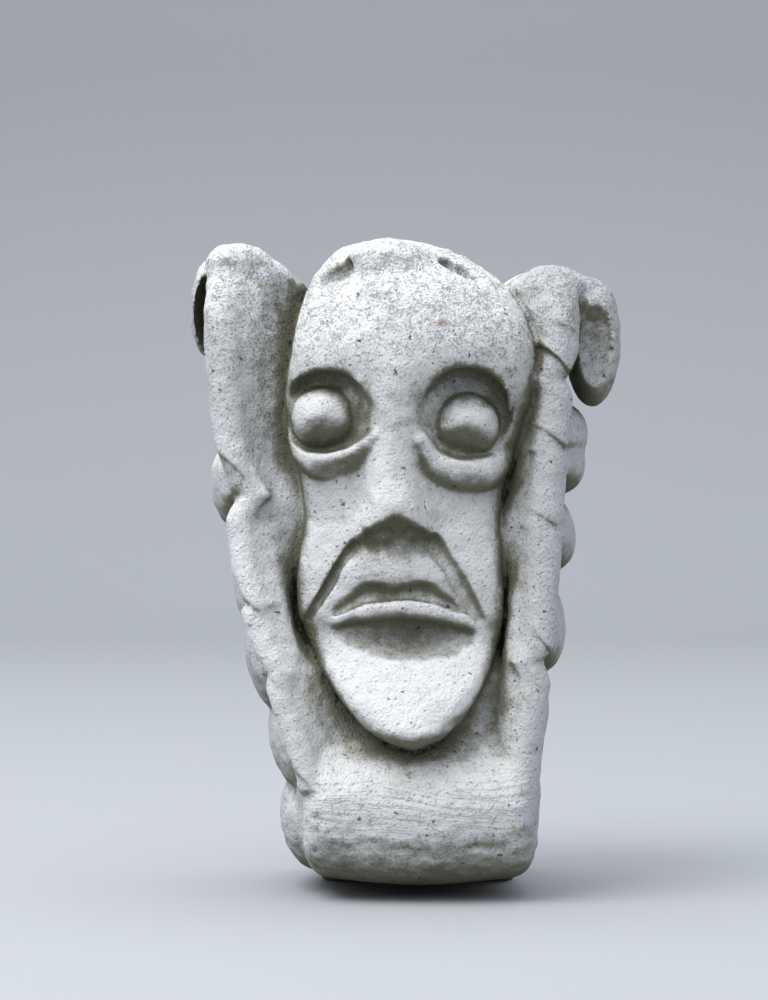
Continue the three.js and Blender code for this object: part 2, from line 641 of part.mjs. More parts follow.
// Closes up edges, the ones that change the surface least first, until so many facets are left
function thinned({ points, faces }, keep) {
  const sums = points.map(() => new Float64Array(10));
  const around = points.map(() => new Set());
  faces.forEach((corners, index) => {
    const plane = planeSums(...corners.map((c) => points[c]));
    for (const corner of corners) {
      around[corner].add(index);
      plane.forEach((v, i) => {
        sums[corner][i] += v;
      });
    }
  });
  const stamp = new Int32Array(points.length);
  const heap = [];
  const push = (entry) => {
    let at = heap.push(entry) - 1;
    while (at > 0 && heap[(at - 1) >> 1].cost > heap[at].cost) {
      const above = (at - 1) >> 1;
      [heap[at], heap[above]] = [heap[above], heap[at]];
      at = above;
    }
  };
  const pop = () => {
    const top = heap[0];
    const end = heap.pop();
    if (heap.length > 0) {
      heap[0] = end;
      let at = 0;
      for (;;) {
        let least = 2 * at + 1;
        if (least >= heap.length) {
          break;
        }
        if (least + 1 < heap.length && heap[least + 1].cost < heap[least].cost) {
          least += 1;
        }
        if (heap[least].cost >= heap[at].cost) {
          break;
        }
        [heap[at], heap[least]] = [heap[least], heap[at]];
        at = least;
      }
    }
    return top;
  };
  const neighbours = (v) => {
    const set = new Set();
    for (const f of around[v]) {
      faces[f].forEach((corner) => set.add(corner));
    }
    set.delete(v);
    return set;
  };
  const offer = (a, b) => {
    const q = sums[a].map((v, i) => v + sums[b][i]);
    const at = bestPoint(q, points[a], points[b]);
    const length = Math.hypot(...points[a].map((v, axis) => v - points[b][axis]));
    push({ cost: Math.max(planeError(q, at), 0) + 0.004 * length ** 3, a, b, at, q,
      stampA: stamp[a], stampB: stamp[b] });
  };
  points.forEach((_, a) => {
    neighbours(a).forEach((b) => {
      if (a < b) {
        offer(a, b);
      }
    });
  });
  const staysSound = (a, b, at) => {
    const [nearA, nearB] = [neighbours(a), neighbours(b)];
    const shared = [...nearA].filter((v) => nearB.has(v));
    if (shared.length !== 2) {
      return false;
    }
    for (const [v, other] of [[a, b], [b, a]]) {
      for (const f of around[v]) {
        if (faces[f].includes(other)) {
          continue;
        }
        const before = faceNormal(...faces[f].map((c) => points[c]));
        const after = faceNormal(...faces[f].map((c) => (c === v ? at : points[c])));
        const [sizeBefore, sizeAfter] = [Math.hypot(...before), Math.hypot(...after)];
        const agree = before[0] * after[0] + before[1] * after[1] + before[2] * after[2];
        if (sizeAfter < 0.05 || agree < 0.6 * sizeBefore * sizeAfter) {
          return false;
        }
      }
    }
    return true;
  };
  let left = faces.length;
  while (left > keep && heap.length > 0) {
    const { a, b, at, q, stampA, stampB } = pop();
    if (stamp[a] !== stampA || stamp[b] !== stampB || !staysSound(a, b, at)) {
      continue;
    }
    for (const f of [...around[b]]) {
      if (faces[f].includes(a)) {
        faces[f].forEach((corner) => around[corner].delete(f));
        faces[f] = null;
        left -= 1;
      } else {
        faces[f] = faces[f].map((corner) => (corner === b ? a : corner));
        around[a].add(f);
      }
    }
    around[b].clear();
    points[a] = at;
    sums[a] = q;
    stamp[a] += 1;
    stamp[b] = -1;
    neighbours(a).forEach((other) => {
      offer(a, other);
    });
  }
  const names = new Map();
  const kept = faces.filter((f) => f !== null);
  const list = [];
  for (const corner of kept.flat()) {
    if (!names.has(corner)) {
      names.set(corner, list.length);
      list.push(points[corner]);
    }
  }
  return { points: list, faces: kept.map((f) => f.map((corner) => names.get(corner))) };
}

const wasm = await Module();
wasm.setup();

function solid(points, faces) {
  return new wasm.Manifold(new wasm.Mesh({
    numProp: 3,
    vertProperties: Float32Array.from(points.flat()),
    triVerts: Uint32Array.from(faces.flat()),
  }));
}

// A box as a solid, from its low and high corners, made from the named box geometry
function boxSolid(low, high) {
  const size = high.map((v, axis) => v - low[axis]);
  const geometry = new THREE.BoxGeometry(...size);
  geometry.translate(...high.map((v, axis) => (v + low[axis]) / 2));
  const position = geometry.getAttribute("position");
  const corners = new Map();
  const points = [];
  const names = [];
  for (let i = 0; i < position.count; i += 1) {
    const p = [position.getX(i), position.getY(i), position.getZ(i)];
    const key = p.map((v) => v.toFixed(3)).join();
    if (!corners.has(key)) {
      corners.set(key, points.length);
      points.push(p);
    }
    names.push(corners.get(key));
  }
  const index = [...geometry.getIndex().array];
  const faces = [];
  for (let i = 0; i < index.length; i += 3) {
    faces.push([names[index[i]], names[index[i + 1]], names[index[i + 2]]]);
  }
  return solid(points, faces);
}

// How far the carving reaches, with room for the grid round it
const MARGIN = 3 * GRID_STEP;
const most = (rows, column) => Math.max(...rows.map((row) => Math.abs(row[column])));
const lobeReach = ({ lobe }) => Math.abs(lobe.centre[0]) + lobe.radii[0];
const leafReach = Math.max(most(LEFT_LEAF.rim, 1), most(RIGHT_LEAF.rim, 1), ...CURLS.map(lobeReach));
const sideReach = Math.max(leafReach, TEMPLE_HALF_WIDTH) + MARGIN;
const rollReach = Math.max(...ROLL.map(([, depth, , radius]) => depth + radius));
const frontReach = Math.max(most(FACE_PROFILE, 1), NOSE_TIP_DEPTH, rollReach) + MARGIN;
const archTop = Math.max(...CURLS.flatMap(({ arch }) => arch.map(([, , z, radius]) => z + radius)));
const topReach = Math.max(CROWN_Z, archTop) + MARGIN;
const lowCorner = [-sideReach, -WALL_OVERRUN - MARGIN, FOOT_Z - WALL_OVERRUN - MARGIN];
const highCorner = [sideReach, frontReach, topReach];
const carved = thinned(evened(surfaceOf(mask, lowCorner, highCorner, GRID_STEP), EVENING), FACETS);
const rough = solid(
  carved.points.map(([x, depth, z]) => [x, -depth, z]),
  carved.faces.map(([a, b, c]) => [a, c, b]),
);
const [wide, deep, tall] = [2 * sideReach, 2 * frontReach, 2 * Math.max(topReach, -lowCorner[2])];
const behindWall = boxSolid([-wide, 0, -tall], [wide, deep, tall]);
const belowFoot = boxSolid([-wide, -deep, -tall], [wide, deep, FOOT_Z]);
const finished = rough.subtract(behindWall).subtract(belowFoot).getMesh();

const geometry = new THREE.BufferGeometry();
geometry.setAttribute("position", new THREE.BufferAttribute(Float32Array.from(finished.vertProperties), 3));
geometry.setIndex(new THREE.BufferAttribute(Uint32Array.from(finished.triVerts), 1));
geometry.computeVertexNormals();

const stone = new THREE.MeshStandardMaterial({ color: PAINT, roughness: 0.85, name: "painted_stone" });
const grotesqueMask = new THREE.Mesh(geometry, stone);
grotesqueMask.name = "grotesque_mask";

const part = new THREE.Group();
part.name = "grotesque_mask_part";
part.add(grotesqueMask);

export default part;
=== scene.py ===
"""The looks of a carved stone mask that has been painted white and has weathered out of doors.

A long goggle-eyed face in a close cap looks out between two fleshy leaves, which curl over at the
top, from a block that is built into a wall. The carving is worked out as a field of distances in
millimetres, below nothing inside the stone, and its surface is found on a fine lattice.

Points of the carving are x to the viewer's right, depth out from the wall, and height above the
middle of the back. In Blender x stays, y is minus the depth, and lengths are in metres.
"""

import logging
import math
from dataclasses import dataclass, field
from enum import Enum
from typing import Callable, NamedTuple, Optional, Sequence

import bmesh
import bpy
import numpy as np
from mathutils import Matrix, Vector


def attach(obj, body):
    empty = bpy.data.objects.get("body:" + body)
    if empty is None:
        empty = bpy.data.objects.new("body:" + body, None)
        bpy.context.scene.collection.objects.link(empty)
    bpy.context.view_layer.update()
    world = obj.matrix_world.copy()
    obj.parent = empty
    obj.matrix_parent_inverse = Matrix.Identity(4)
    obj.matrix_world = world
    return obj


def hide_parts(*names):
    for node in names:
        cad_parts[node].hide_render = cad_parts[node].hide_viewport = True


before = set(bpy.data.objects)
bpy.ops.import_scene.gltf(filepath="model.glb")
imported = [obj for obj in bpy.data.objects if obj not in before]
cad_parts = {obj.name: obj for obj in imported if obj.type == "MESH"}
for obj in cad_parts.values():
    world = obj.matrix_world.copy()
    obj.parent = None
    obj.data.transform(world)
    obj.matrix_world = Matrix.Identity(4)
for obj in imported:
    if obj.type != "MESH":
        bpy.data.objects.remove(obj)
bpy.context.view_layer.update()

LOG = logging.getLogger("grotesque_mask")
MM = 0.001
FAR = 18.0

Array = np.ndarray
Rows = tuple[tuple[float, ...], ...]
Triple = tuple[float, float, float]
Colour = tuple[float, float, float, float]
Socket = bpy.types.NodeSocket


class Points(NamedTuple):
    """Many points at once, as three arrays of millimetres."""

    x: Array
    depth: Array
    z: Array

    @classmethod
    def of(cls, rows: Array) -> "Points":
        """Splits rows of x, depth and height."""
        return cls(rows[:, 0], rows[:, 1], rows[:, 2])

    def rows(self) -> Array:
        """Puts the three arrays side by side."""
        return np.stack([self.x, self.depth, self.z], axis=1)


Field = Callable[[Points], Array]


# Ways to put fields together


def join(a: Array, b: Array, width: float) -> Array:
    """Joins two solids and fills the crease between them.

    The smaller of two distances, less a parabola where they differ by less than the width.

    Args:
        a: Distances to the first solid.
        b: Distances to the second.
        width: How far the fillet reaches, in mm.

    Returns:
        Distances to both solids together.
    """
    share = np.clip(0.5 + (b - a) / (2.0 * width), 0.0, 1.0)
    return b + (a - b) * share - width * share * (1.0 - share)


def meet(a: Array, b: Array, width: float) -> Array:
    """Keeps what two solids share, with the edge between them rounded."""
    return -join(-a, -b, width)


def cut(a: Array, b: Array, width: float) -> Array:
    """Takes the second solid out of the first, with the edge between them rounded."""
    return -join(-a, b, width)


def ramp(value: Array, low: float, high: float) -> Array:
    """Eases from 0 at low to 1 at high along 3t^2 - 2t^3."""
    t = np.clip((value - low) / (high - low), 0.0, 1.0)
    return t * t * (3.0 - 2.0 * t)


def value_noise(points: Array, size: float, seed: int) -> Array:
    """Smooth noise from -1 to 1.

    Random values stand at the corners of cubes, and each point takes the eased mean of the eight
    round it, weighted by how near they are along each axis.

    Args:
        points: Rows of x, depth and height.
        size: Edge of the cubes, in mm.
        seed: Seed of the random values.

    Returns:
        One value a point.
    """
    count = 32
    table = np.random.default_rng(seed).uniform(-1.0, 1.0, (count, count, count))
    place = points / size + 64.0
    low = np.floor(place).astype(np.int64)
    t = place - low
    t = t * t * t * (t * (t * 6.0 - 15.0) + 10.0)
    total = np.zeros(len(points))
    for corner in CORNERS:
        at = (low + corner) % count
        weight = np.prod(np.where(corner == 1, t, 1.0 - t), axis=1)
        total += weight * table[at[:, 0], at[:, 1], at[:, 2]]
    return total


CORNERS = np.array([(i, j, k) for i in (0, 1) for j in (0, 1) for k in (0, 1)])


# Forms that the carving is put together from


@dataclass(frozen=True)
class Curve:
    """A smooth curve through rows of height and value."""

    rows: Rows
    column: int = 1

    def __call__(self, z: Array) -> Array:
        """Hermite cubics through the knots, with the slope of a parabola through its neighbours.

        Args:
            z: Heights; beyond the ends the curve stays level.

        Returns:
            The value at each height.
        """
        knots = sorted((row[0], row[self.column]) for row in self.rows)
        at = np.array([knot[0] for knot in knots])
        value = np.array([knot[1] for knot in knots])
        slope = np.gradient(value, at)
        z = np.clip(z, at[0], at[-1])
        i = np.clip(np.searchsorted(at, z, side="right") - 1, 0, len(at) - 2)
        span = at[i + 1] - at[i]
        t = (z - at[i]) / span
        ease = t * t * (3.0 - 2.0 * t)
        leave = t * (1.0 - t) ** 2 * span * slope[i]
        arrive = t * t * (t - 1.0) * span * slope[i + 1]
        return value[i] * (1.0 - ease) + value[i + 1] * ease + leave + arrive


@dataclass(frozen=True)
class Lump:
    """An ellipsoid, which may lean sideways in the upright plane."""

    centre: Triple
    radii: Triple
    lean: float = 0.0

    def distance(self, p: Points) -> Array:
        """The scaled radius less one, over the slope of the scaled radius."""
        turn = math.radians(self.lean)
        across = p.x - self.centre[0]
        up = p.z - self.centre[2]
        x = (across * math.cos(turn) + up * math.sin(turn)) / self.radii[0]
        y = (p.depth - self.centre[1]) / self.radii[1]
        z = (up * math.cos(turn) - across * math.sin(turn)) / self.radii[2]
        reach = np.sqrt(x * x + y * y + z * z)
        wide, deep, high = self.radii
        slope = np.sqrt((x / wide) ** 2 + (y / deep) ** 2 + (z / high) ** 2)
        return reach * (reach - 1.0) / np.maximum(slope, 1e-6)


@dataclass(frozen=True)
class Strand:
    """A round strand along a smooth path of x, depth, height and radius."""

    path: Rows
    steps: int = 5

    def stations(self) -> Array:
        """Points of a Catmull-Rom spline through the path, so many to a span."""
        given = np.array(self.path, float)
        run = np.vstack([2 * given[0] - given[1], given, 2 * given[-1] - given[-2]])
        t = np.linspace(0.0, 1.0, self.steps, endpoint=False)[None, :, None]
        a, b, c, d = (run[i : len(given) - 1 + i, None, :] for i in range(4))
        spline = 2 * b + (c - a) * t + (2 * a - 5 * b + 4 * c - d) * t**2
        spline = 0.5 * (spline + (3 * b - a - 3 * c + d) * t**3)
        return np.vstack([spline.reshape(-1, 4), given[-1]])

    def distance(self, p: Points) -> Array:
        """The least distance to the straight pieces between stations, less the radius there.

        Args:
            p: The points; those far outside the strand's box get their distance to the box.

        Returns:
            Distance to the strand's skin.
        """
        line = self.stations()
        low = (line[:, :3] - line[:, 3:]).min(0)
        high = (line[:, :3] + line[:, 3:]).max(0)
        away = np.full(p.x.shape, -np.inf)
        for value, least, most in zip(p, low, high):
            away = np.maximum(away, np.maximum(least - value, value - most))
        near = away <= FAR
        spots = np.stack([p.x[near], p.depth[near], p.z[near]], axis=1)
        nearest = np.full(len(spots), np.inf)
        for a, b in zip(line[:-1], line[1:]):
            along = b[:3] - a[:3]
            start = spots - a[:3]
            t = np.clip(start @ along / (along @ along), 0.0, 1.0)
            gap = np.sqrt(((start - t[:, None] * along) ** 2).sum(1))
            nearest = np.minimum(nearest, gap - a[3] - (b[3] - a[3]) * t)
        away[near] = nearest
        return away


def carve_all(solid: Array, forms: Sequence, p: Points, width: float) -> Array:
    """Cuts each of some forms out of a solid, with edges rounded by one width."""
    for form in forms:
        solid = cut(solid, form.distance(p), width)
    return solid


def add_all(solid: Array, forms: Sequence, p: Points, width: float) -> Array:
    """Joins each of some forms to a solid with a fillet of one width."""
    for form in forms:
        solid = join(solid, form.distance(p), width)
    return solid


# The sub-assemblies of the carving


def laid(solid: Field, rows: Rows) -> Strand:
    """Lays a strand on the front of a solid.

    From far out, the field is followed inwards in quarter millimetres; its first point in the
    stone is where the surface lies.

    Args:
        solid: The field.
        rows: Rows of x, height, radius and how far under the surface the middle line lies.

    Returns:
        The strand.
    """
    depths = np.arange(150.0, 30.0, -0.25)
    path = []
    for x, z, radius, sunk in rows:
        line = Points(np.full(depths.shape, x), depths, np.full(depths.shape, z))
        path.append((x, depths[np.argmax(solid(line) < 0.0)] - sunk, z, radius))
    return Strand(tuple(path))


@dataclass
class Head:
    """The bare head: a long shell of a face, crown to chin.

    Rows of the profile, the rounding, the lean and the cheeks are height and value. Rows of a dent
    or a line of the cap are x, height, radius and how far its middle lies under the surface.
    """

    crown_z: float = 152.5
    eye_line_z: float = 79.0
    jaw_z: float = -20.0
    chin_z: float = -81.5
    temple_half_width: float = 56.8
    jaw_half_width: float = 46.5
    back_depth: float = 30.0
    side_round: float = 9.0
    profile: Rows = (
        (152.5, 84), (147.5, 96), (141, 106), (130, 117), (114, 125), (96, 128), (82, 124),
        (66, 117), (50, 113), (25, 112.5), (-5, 116), (-20, 115.5), (-30, 114), (-38, 117),
        (-47, 123.5), (-58, 132.5), (-68, 138.5), (-73.5, 140.5), (-78, 137), (-81.5, 130),
    )
    rounding: Rows = ((150, 10), (141, 22), (126, 26), (99, 22), (49, 15), (22, 10), (-82, 7))
    lean: Rows = ((152.5, -5.5), (143, -1), (33, 1), (-20, 0.5), (-45, 2.5), (-81.5, 5.5))
    cheeks: Rows = ((79, 56.8), (65, 55), (49, 50), (33, 45.5), (0, 46.5), (-20, 46.5))
    bump: Lump = Lump((-5.5, 99, 140), (20, 12, 10))
    dent_lines: tuple[Rows, ...] = (
        ((-25.5, 136.5, 6.4, -0.6), (-30.5, 134.5, 7, -1.2), (-35.5, 131.5, 5, -1.6)),
        ((23.5, 138.5, 6, 0.4), (28.5, 136, 6.2, -0.6), (35, 132, 4.4, -1.2)),
    )
    cap_lines: tuple[Rows, ...] = (
        ((-27, 146, 1.2, -0.1), (-36, 136, 1.2, -0.1), (-43.5, 121, 1.2, -0.1),
         (-47.5, 104, 1.2, -0.1), (-49, 88, 1.0, 0.2)),
        ((-31.5, 124, 0.9, -0.1), (-40.5, 112, 0.9, -0.1), (-45.5, 100, 0.8, -0.1),
         (-47.5, 86, 0.6, -0.1)),
        ((22, 146, 1.2, -0.1), (32.5, 139, 1.3, -0.1), (41.5, 129, 1.3, -0.1),
         (48.5, 112, 1.3, -0.1), (50.5, 92, 1.3, -0.1), (50, 72, 1.1, 0.1)),
        ((20, 136, 0.9, -0.1), (33, 128, 1.0, -0.1), (42, 114, 1.0, -0.1),
         (46.5, 97, 1.0, -0.1), (48, 80, 0.8, -0.1)),
    )
    dent_round: float = 3.2
    ridge_round: float = 0.9
    back_round: float = 2.0
    crown_round: float = 5.0
    chin_round: float = 2.0
    most_taper: float = 2.5

    def __post_init__(self) -> None:
        """Lays the dents and the cap's edges on the front."""
        self.dents = [laid(self.field, rows) for rows in self.dent_lines]
        self.ridges = [laid(self.field, rows) for rows in self.cap_lines]

    def half_width(self, z: Array) -> Array:
        """Half the head's width: a superellipse over the eye line, a pointed arch under the jaw.

        Args:
            z: Heights.

        Returns:
            Half widths in mm, at least 1.
        """
        up = np.clip((z - self.eye_line_z) / (self.crown_z + 0.5 - self.eye_line_z), 0.0, 1.0)
        down = np.clip((self.jaw_z - z) / (self.jaw_z - self.chin_z + 0.5), 0.0, 1.0)
        crown = self.temple_half_width * np.sqrt(1.0 - up**2.6)
        jaw = self.jaw_half_width * (1.0 - down**1.5) ** 0.62
        width = np.where(z > self.eye_line_z, crown, Curve(self.cheeks)(z))
        return np.maximum(np.where(z < self.jaw_z, jaw, width), 1.0)

    def field(self, p: Points) -> Array:
        """The shell between its sides, its front, its back, crown and chin.

        The front is the profile's depth, less the rounding times the square of how far out
        towards the edge a point lies. Where the width changes with height, the distance to the
        sides is shortened to the one square to them.
        """
        half = self.half_width(p.z)
        aside = p.x - Curve(self.lean)(p.z)
        outward = np.minimum((aside / half) ** 2, 1.3)
        front = Curve(self.profile)(p.z) - Curve(self.rounding)(p.z) * outward
        taper = self.half_width(p.z + 0.5) - self.half_width(p.z - 0.5)
        taper = np.clip(taper, -self.most_taper, self.most_taper)
        sides = (np.abs(aside) - half) / np.sqrt(1.0 + taper**2)
        solid = meet(sides, (p.depth - front) * 0.9, self.side_round)
        solid = meet(solid, self.back_depth - p.depth, self.back_round)
        solid = meet(solid, p.z - self.crown_z, self.crown_round)
        return meet(solid, self.chin_z - p.z, self.chin_round)

    def crowned(self, solid: Array, p: Points) -> Array:
        """Cuts the two dents beside the low bump on top and adds the raised edges of the cap."""
        solid = carve_all(solid, self.dents, p, self.dent_round)
        return add_all(solid, self.ridges, p, self.ridge_round)


@dataclass(frozen=True)
class EyeSocket:
    """An eye socket: an oval recess whose floor tilts, and curves up towards the nose."""

    x: float
    z: float
    half_width: float
    half_height: float
    floor_depth: float
    tilt: float
    bend: float
    level: float = 6.0
    floor_round: float = 5.0

    def distance(self, p: Points) -> Array:
        """The oval's edge and the floor, met. The floor curves squared beyond its level part."""
        aside = p.x - self.x
        edge = np.hypot(aside / self.half_width, (p.z - self.z) / self.half_height) - 1.0
        inward = np.maximum(aside * math.copysign(1.0, self.tilt) - self.level, 0.0)
        back = self.floor_depth + self.tilt * aside + self.bend * inward**2 - p.depth
        return meet(edge * self.half_width, back * 0.8, self.floor_round)


@dataclass
class Eyes:
    """Goggling eyeballs in round sockets, over heavy bags.

    A tip is the height and depth of an eyeball's foremost point; under it the ball is cut away
    along the slant. A bag's lip is height, depth and rounding of the edge it is cut away from.
    """

    sockets: tuple[EyeSocket, ...] = (
        EyeSocket(-33.5, 71, 19.5, 19, 104, 0.32, 0.035),
        EyeSocket(30, 70.5, 20.5, 20.5, 106.5, -0.3, 0.015),
    )
    balls: tuple[Lump, ...] = (
        Lump((-34, 100.5, 68), (16, 16.5, 15)),
        Lump((29.5, 102, 65), (16.2, 16.5, 15.2)),
    )
    tips: tuple[tuple[float, float], ...] = ((68, 117), (65, 118.5))
    slant: float = 1.05
    bags: tuple[Strand, ...] = (
        Strand((
            (-50, 94, 64, 2), (-47, 98, 56.5, 4.2), (-38, 103.5, 49.5, 8),
            (-26.5, 108.5, 49.5, 8), (-17, 113.5, 54.5, 5.4), (-11, 119, 60, 3),
        )),
        Strand((
            (9.5, 116.5, 58, 5), (15, 111.5, 48.5, 7.4), (26.5, 108.5, 43.5, 9.2),
            (38.5, 102.5, 44.5, 8.4), (46.5, 96, 51, 5.4), (50, 92, 59, 2.6),
        )),
    )
    bag_lips: tuple[Triple, ...] = ((47, 113, 2.0), (42, 117.5, 6.0))
    bag_slant: float = 1.15
    bag_join: float = 1.8
    rim_round: float = 2.8
    tip_round: float = 2.6
    ball_join: float = 1.6

    def field(self, solid: Array, p: Points) -> Array:
        """Adds the bags, cut away along a slant under their lips, then sockets and balls.

        Each ball is cut away under its tip, too, so that its lower half faces down.
        """
        for bag, (lip_z, lip_depth, lip_round) in zip(self.bags, self.bag_lips):
            underside = (lip_z + (p.depth - lip_depth) * self.bag_slant - p.z) * 0.66
            solid = join(solid, meet(bag.distance(p), underside, lip_round), self.bag_join)
        solid = carve_all(solid, self.sockets, p, self.rim_round)
        for ball, (tip_z, tip_depth) in zip(self.balls, self.tips):
            under = tip_z + (p.depth - tip_depth) * self.slant - p.z
            under = under / math.hypot(1.0, self.slant)
            solid = join(solid, meet(ball.distance(p), under, self.tip_round), self.ball_join)
        return solid


@dataclass
class NoseAndMouth:
    """A long nose that overhangs the muzzle, deep folds down to the jaw, and a pinched mouth.

    Rows of a line are x, height, radius and how far its middle lies under the surface.
    """

    middle_x: float = -1.5
    nose_base_z: float = 22.5
    nose_tip_depth: float = 126.5
    fold_slope: float = 0.62
    rim_slope: float = 0.6
    cheek_slope: float = 1.1
    nose_half_width: float = 21.0
    base_slope: float = 0.42
    base_curve: float = 0.045
    nose_join: float = 10.0
    wing_join: float = 6.0
    base_round: float = 3.0
    face_join: float = 2.5
    muzzle_join: float = 5.0
    upper_lip_round: float = 4.0
    lower_lip_join: float = 3.6
    chin_hollow_round: float = 5.0
    mouth_round: float = 0.8
    fold_rounds: tuple[float, float] = (1.4, 3.6)
    nostril_round: float = 2.0
    nose: Strand = Strand((
        (-1.5, 120, 88, 8), (-2, 118, 76, 9), (-2.5, 114.5, 58, 10), (-3, 113.5, 40, 12),
        (-2.5, 115.5, 27.5, 13), (-2.5, 116, 17.5, 13.5),
    ))
    wings: Strand = Strand((
        (-24, 101, 5, 6), (-14.5, 107.5, 13, 9.5), (-2, 111, 20, 13),
        (10.5, 107.5, 13, 9.5), (21.5, 101.5, 4, 6),
    ))
    muzzle: Strand = Strand((
        (-18.5, 106, -1.5, 10.5), (-1.5, 107, 0.5, 12.5), (15.5, 106, -1.5, 10.5),
    ))
    fold_lines: tuple[Rows, ...] = (
        (
            (-20, 10.5, 1.8, 0.5), (-24.5, 5.8, 1.9, 0.8), (-29.5, -2.8, 2.0, 1.0),
            (-34, -10.5, 2.0, 1.0), (-38.5, -17.8, 1.8, 0.7), (-42.2, -23, 1.2, 0.2),
        ),
        (
            (15, 11.5, 2.2, -0.2), (18.5, 6.8, 2.6, 0), (24.8, -2.8, 2.7, 0.2),
            (28.2, -9.8, 2.6, 0.4), (31.8, -16.5, 2.3, 0.5), (35.5, -22.8, 1.6, 0.3),
        ),
    )
    upper_lip_line: Rows = (
        (-28, -20.2, 2.0, 0), (-19.6, -15.4, 3.2, -0.4), (-12, -12.2, 4.0, -0.8),
        (-3, -13.4, 3.0, -0.6), (8.5, -11.6, 4.1, -0.8), (16.5, -14.6, 3.2, -0.4),
        (24, -18.8, 2.0, 0),
    )
    lower_lip_line: Rows = (
        (-28, -23, 2.2, 2.0), (-16, -19.6, 4.4, 2.6), (-2.2, -17.8, 5.2, 3), (9, -18.4, 5, 3),
        (20.4, -21, 4, 2.6), (32, -25, 2.2, 2.0),
    )
    mouth_line: Rows = (
        (-29.5, -20.8, 1.0, 0.3), (-22.6, -17.5, 1.2, 0.6), (-15.8, -14.6, 1.3, 0.8),
        (-2.2, -13, 1.3, 0.8), (9, -13.6, 1.3, 0.8), (20.4, -16.2, 1.0, 0.5), (32, -20.5, 0.8, 0.2),
    )
    chin_line: Rows = (
        (-24, -27.5, 4, -0.8), (-14.6, -28.4, 8.4, -1.8), (-2.2, -29, 11, -2.2),
        (9, -29.4, 11, -2.2), (19, -30.4, 8.4, -1.8), (29, -31, 4, -0.6),
    )
    nostrils: tuple[Lump, ...] = (
        Lump((-9, 117.5, 15.5), (6, 3.6, 3.6)),
        Lump((6, 118, 16.5), (3.6, 3.4, 3)),
    )
    head: Head = field(default_factory=Head)

    def __post_init__(self) -> None:
        """Lays the folds, the lips, the mouth and the hollow over the chin on the built-up face."""
        self.folds = [laid(self.body, rows) for rows in self.fold_lines]
        lines = (self.upper_lip_line, self.lower_lip_line, self.mouth_line, self.chin_line)
        laid_lines = [laid(self.body, rows) for rows in lines]
        self.upper_lip, self.lower_lip, self.mouth, self.chin_hollow = laid_lines

    def overhang(self, p: Points) -> Array:
        """Height at which nose and cheeks end over the muzzle.

        From the tip it falls to either side along an upturned V with a blunt point, steeper beyond
        the nose, and inwards along a line plus a square, so that the underside is hollow.
        """
        aside = np.abs(p.x - self.middle_x)
        drop = self.fold_slope * (np.sqrt(aside**2 + 3.0) - 1.7)
        drop = drop + self.cheek_slope * np.maximum(aside - self.nose_half_width, 0.0)
        inwards = np.clip(self.nose_tip_depth - self.rim_slope * aside - p.depth, -8.0, 24.0)
        return self.nose_base_z - drop - inwards * (self.base_slope + self.base_curve * inwards)

    def body(self, p: Points) -> Array:
        """The head with the nose, its wings and the muzzle."""
        solid = self.head.field(p)
        nosed = join(solid, self.nose.distance(p), self.nose_join)
        nosed = join(nosed, self.wings.distance(p), self.wing_join)
        nosed = meet(nosed, (self.overhang(p) - p.z) * 0.42, self.base_round)
        solid = join(solid, nosed, self.face_join)
        return join(solid, self.muzzle.distance(p), self.muzzle_join)

    def cut_in(self, solid: Array, p: Points) -> Array:
        """Cuts under the upper lip, adds the lower one, and cuts the mouth, folds and nostrils."""
        solid = cut(solid, self.upper_lip.distance(p), self.upper_lip_round)
        solid = cut(solid, self.chin_hollow.distance(p), self.chin_hollow_round)
        solid = join(solid, self.lower_lip.distance(p), self.lower_lip_join)
        solid = cut(solid, self.mouth.distance(p), self.mouth_round)
        for fold, rounding in zip(self.folds, self.fold_rounds):
            solid = cut(solid, fold.distance(p), rounding)
        return carve_all(solid, self.nostrils, p, self.nostril_round)


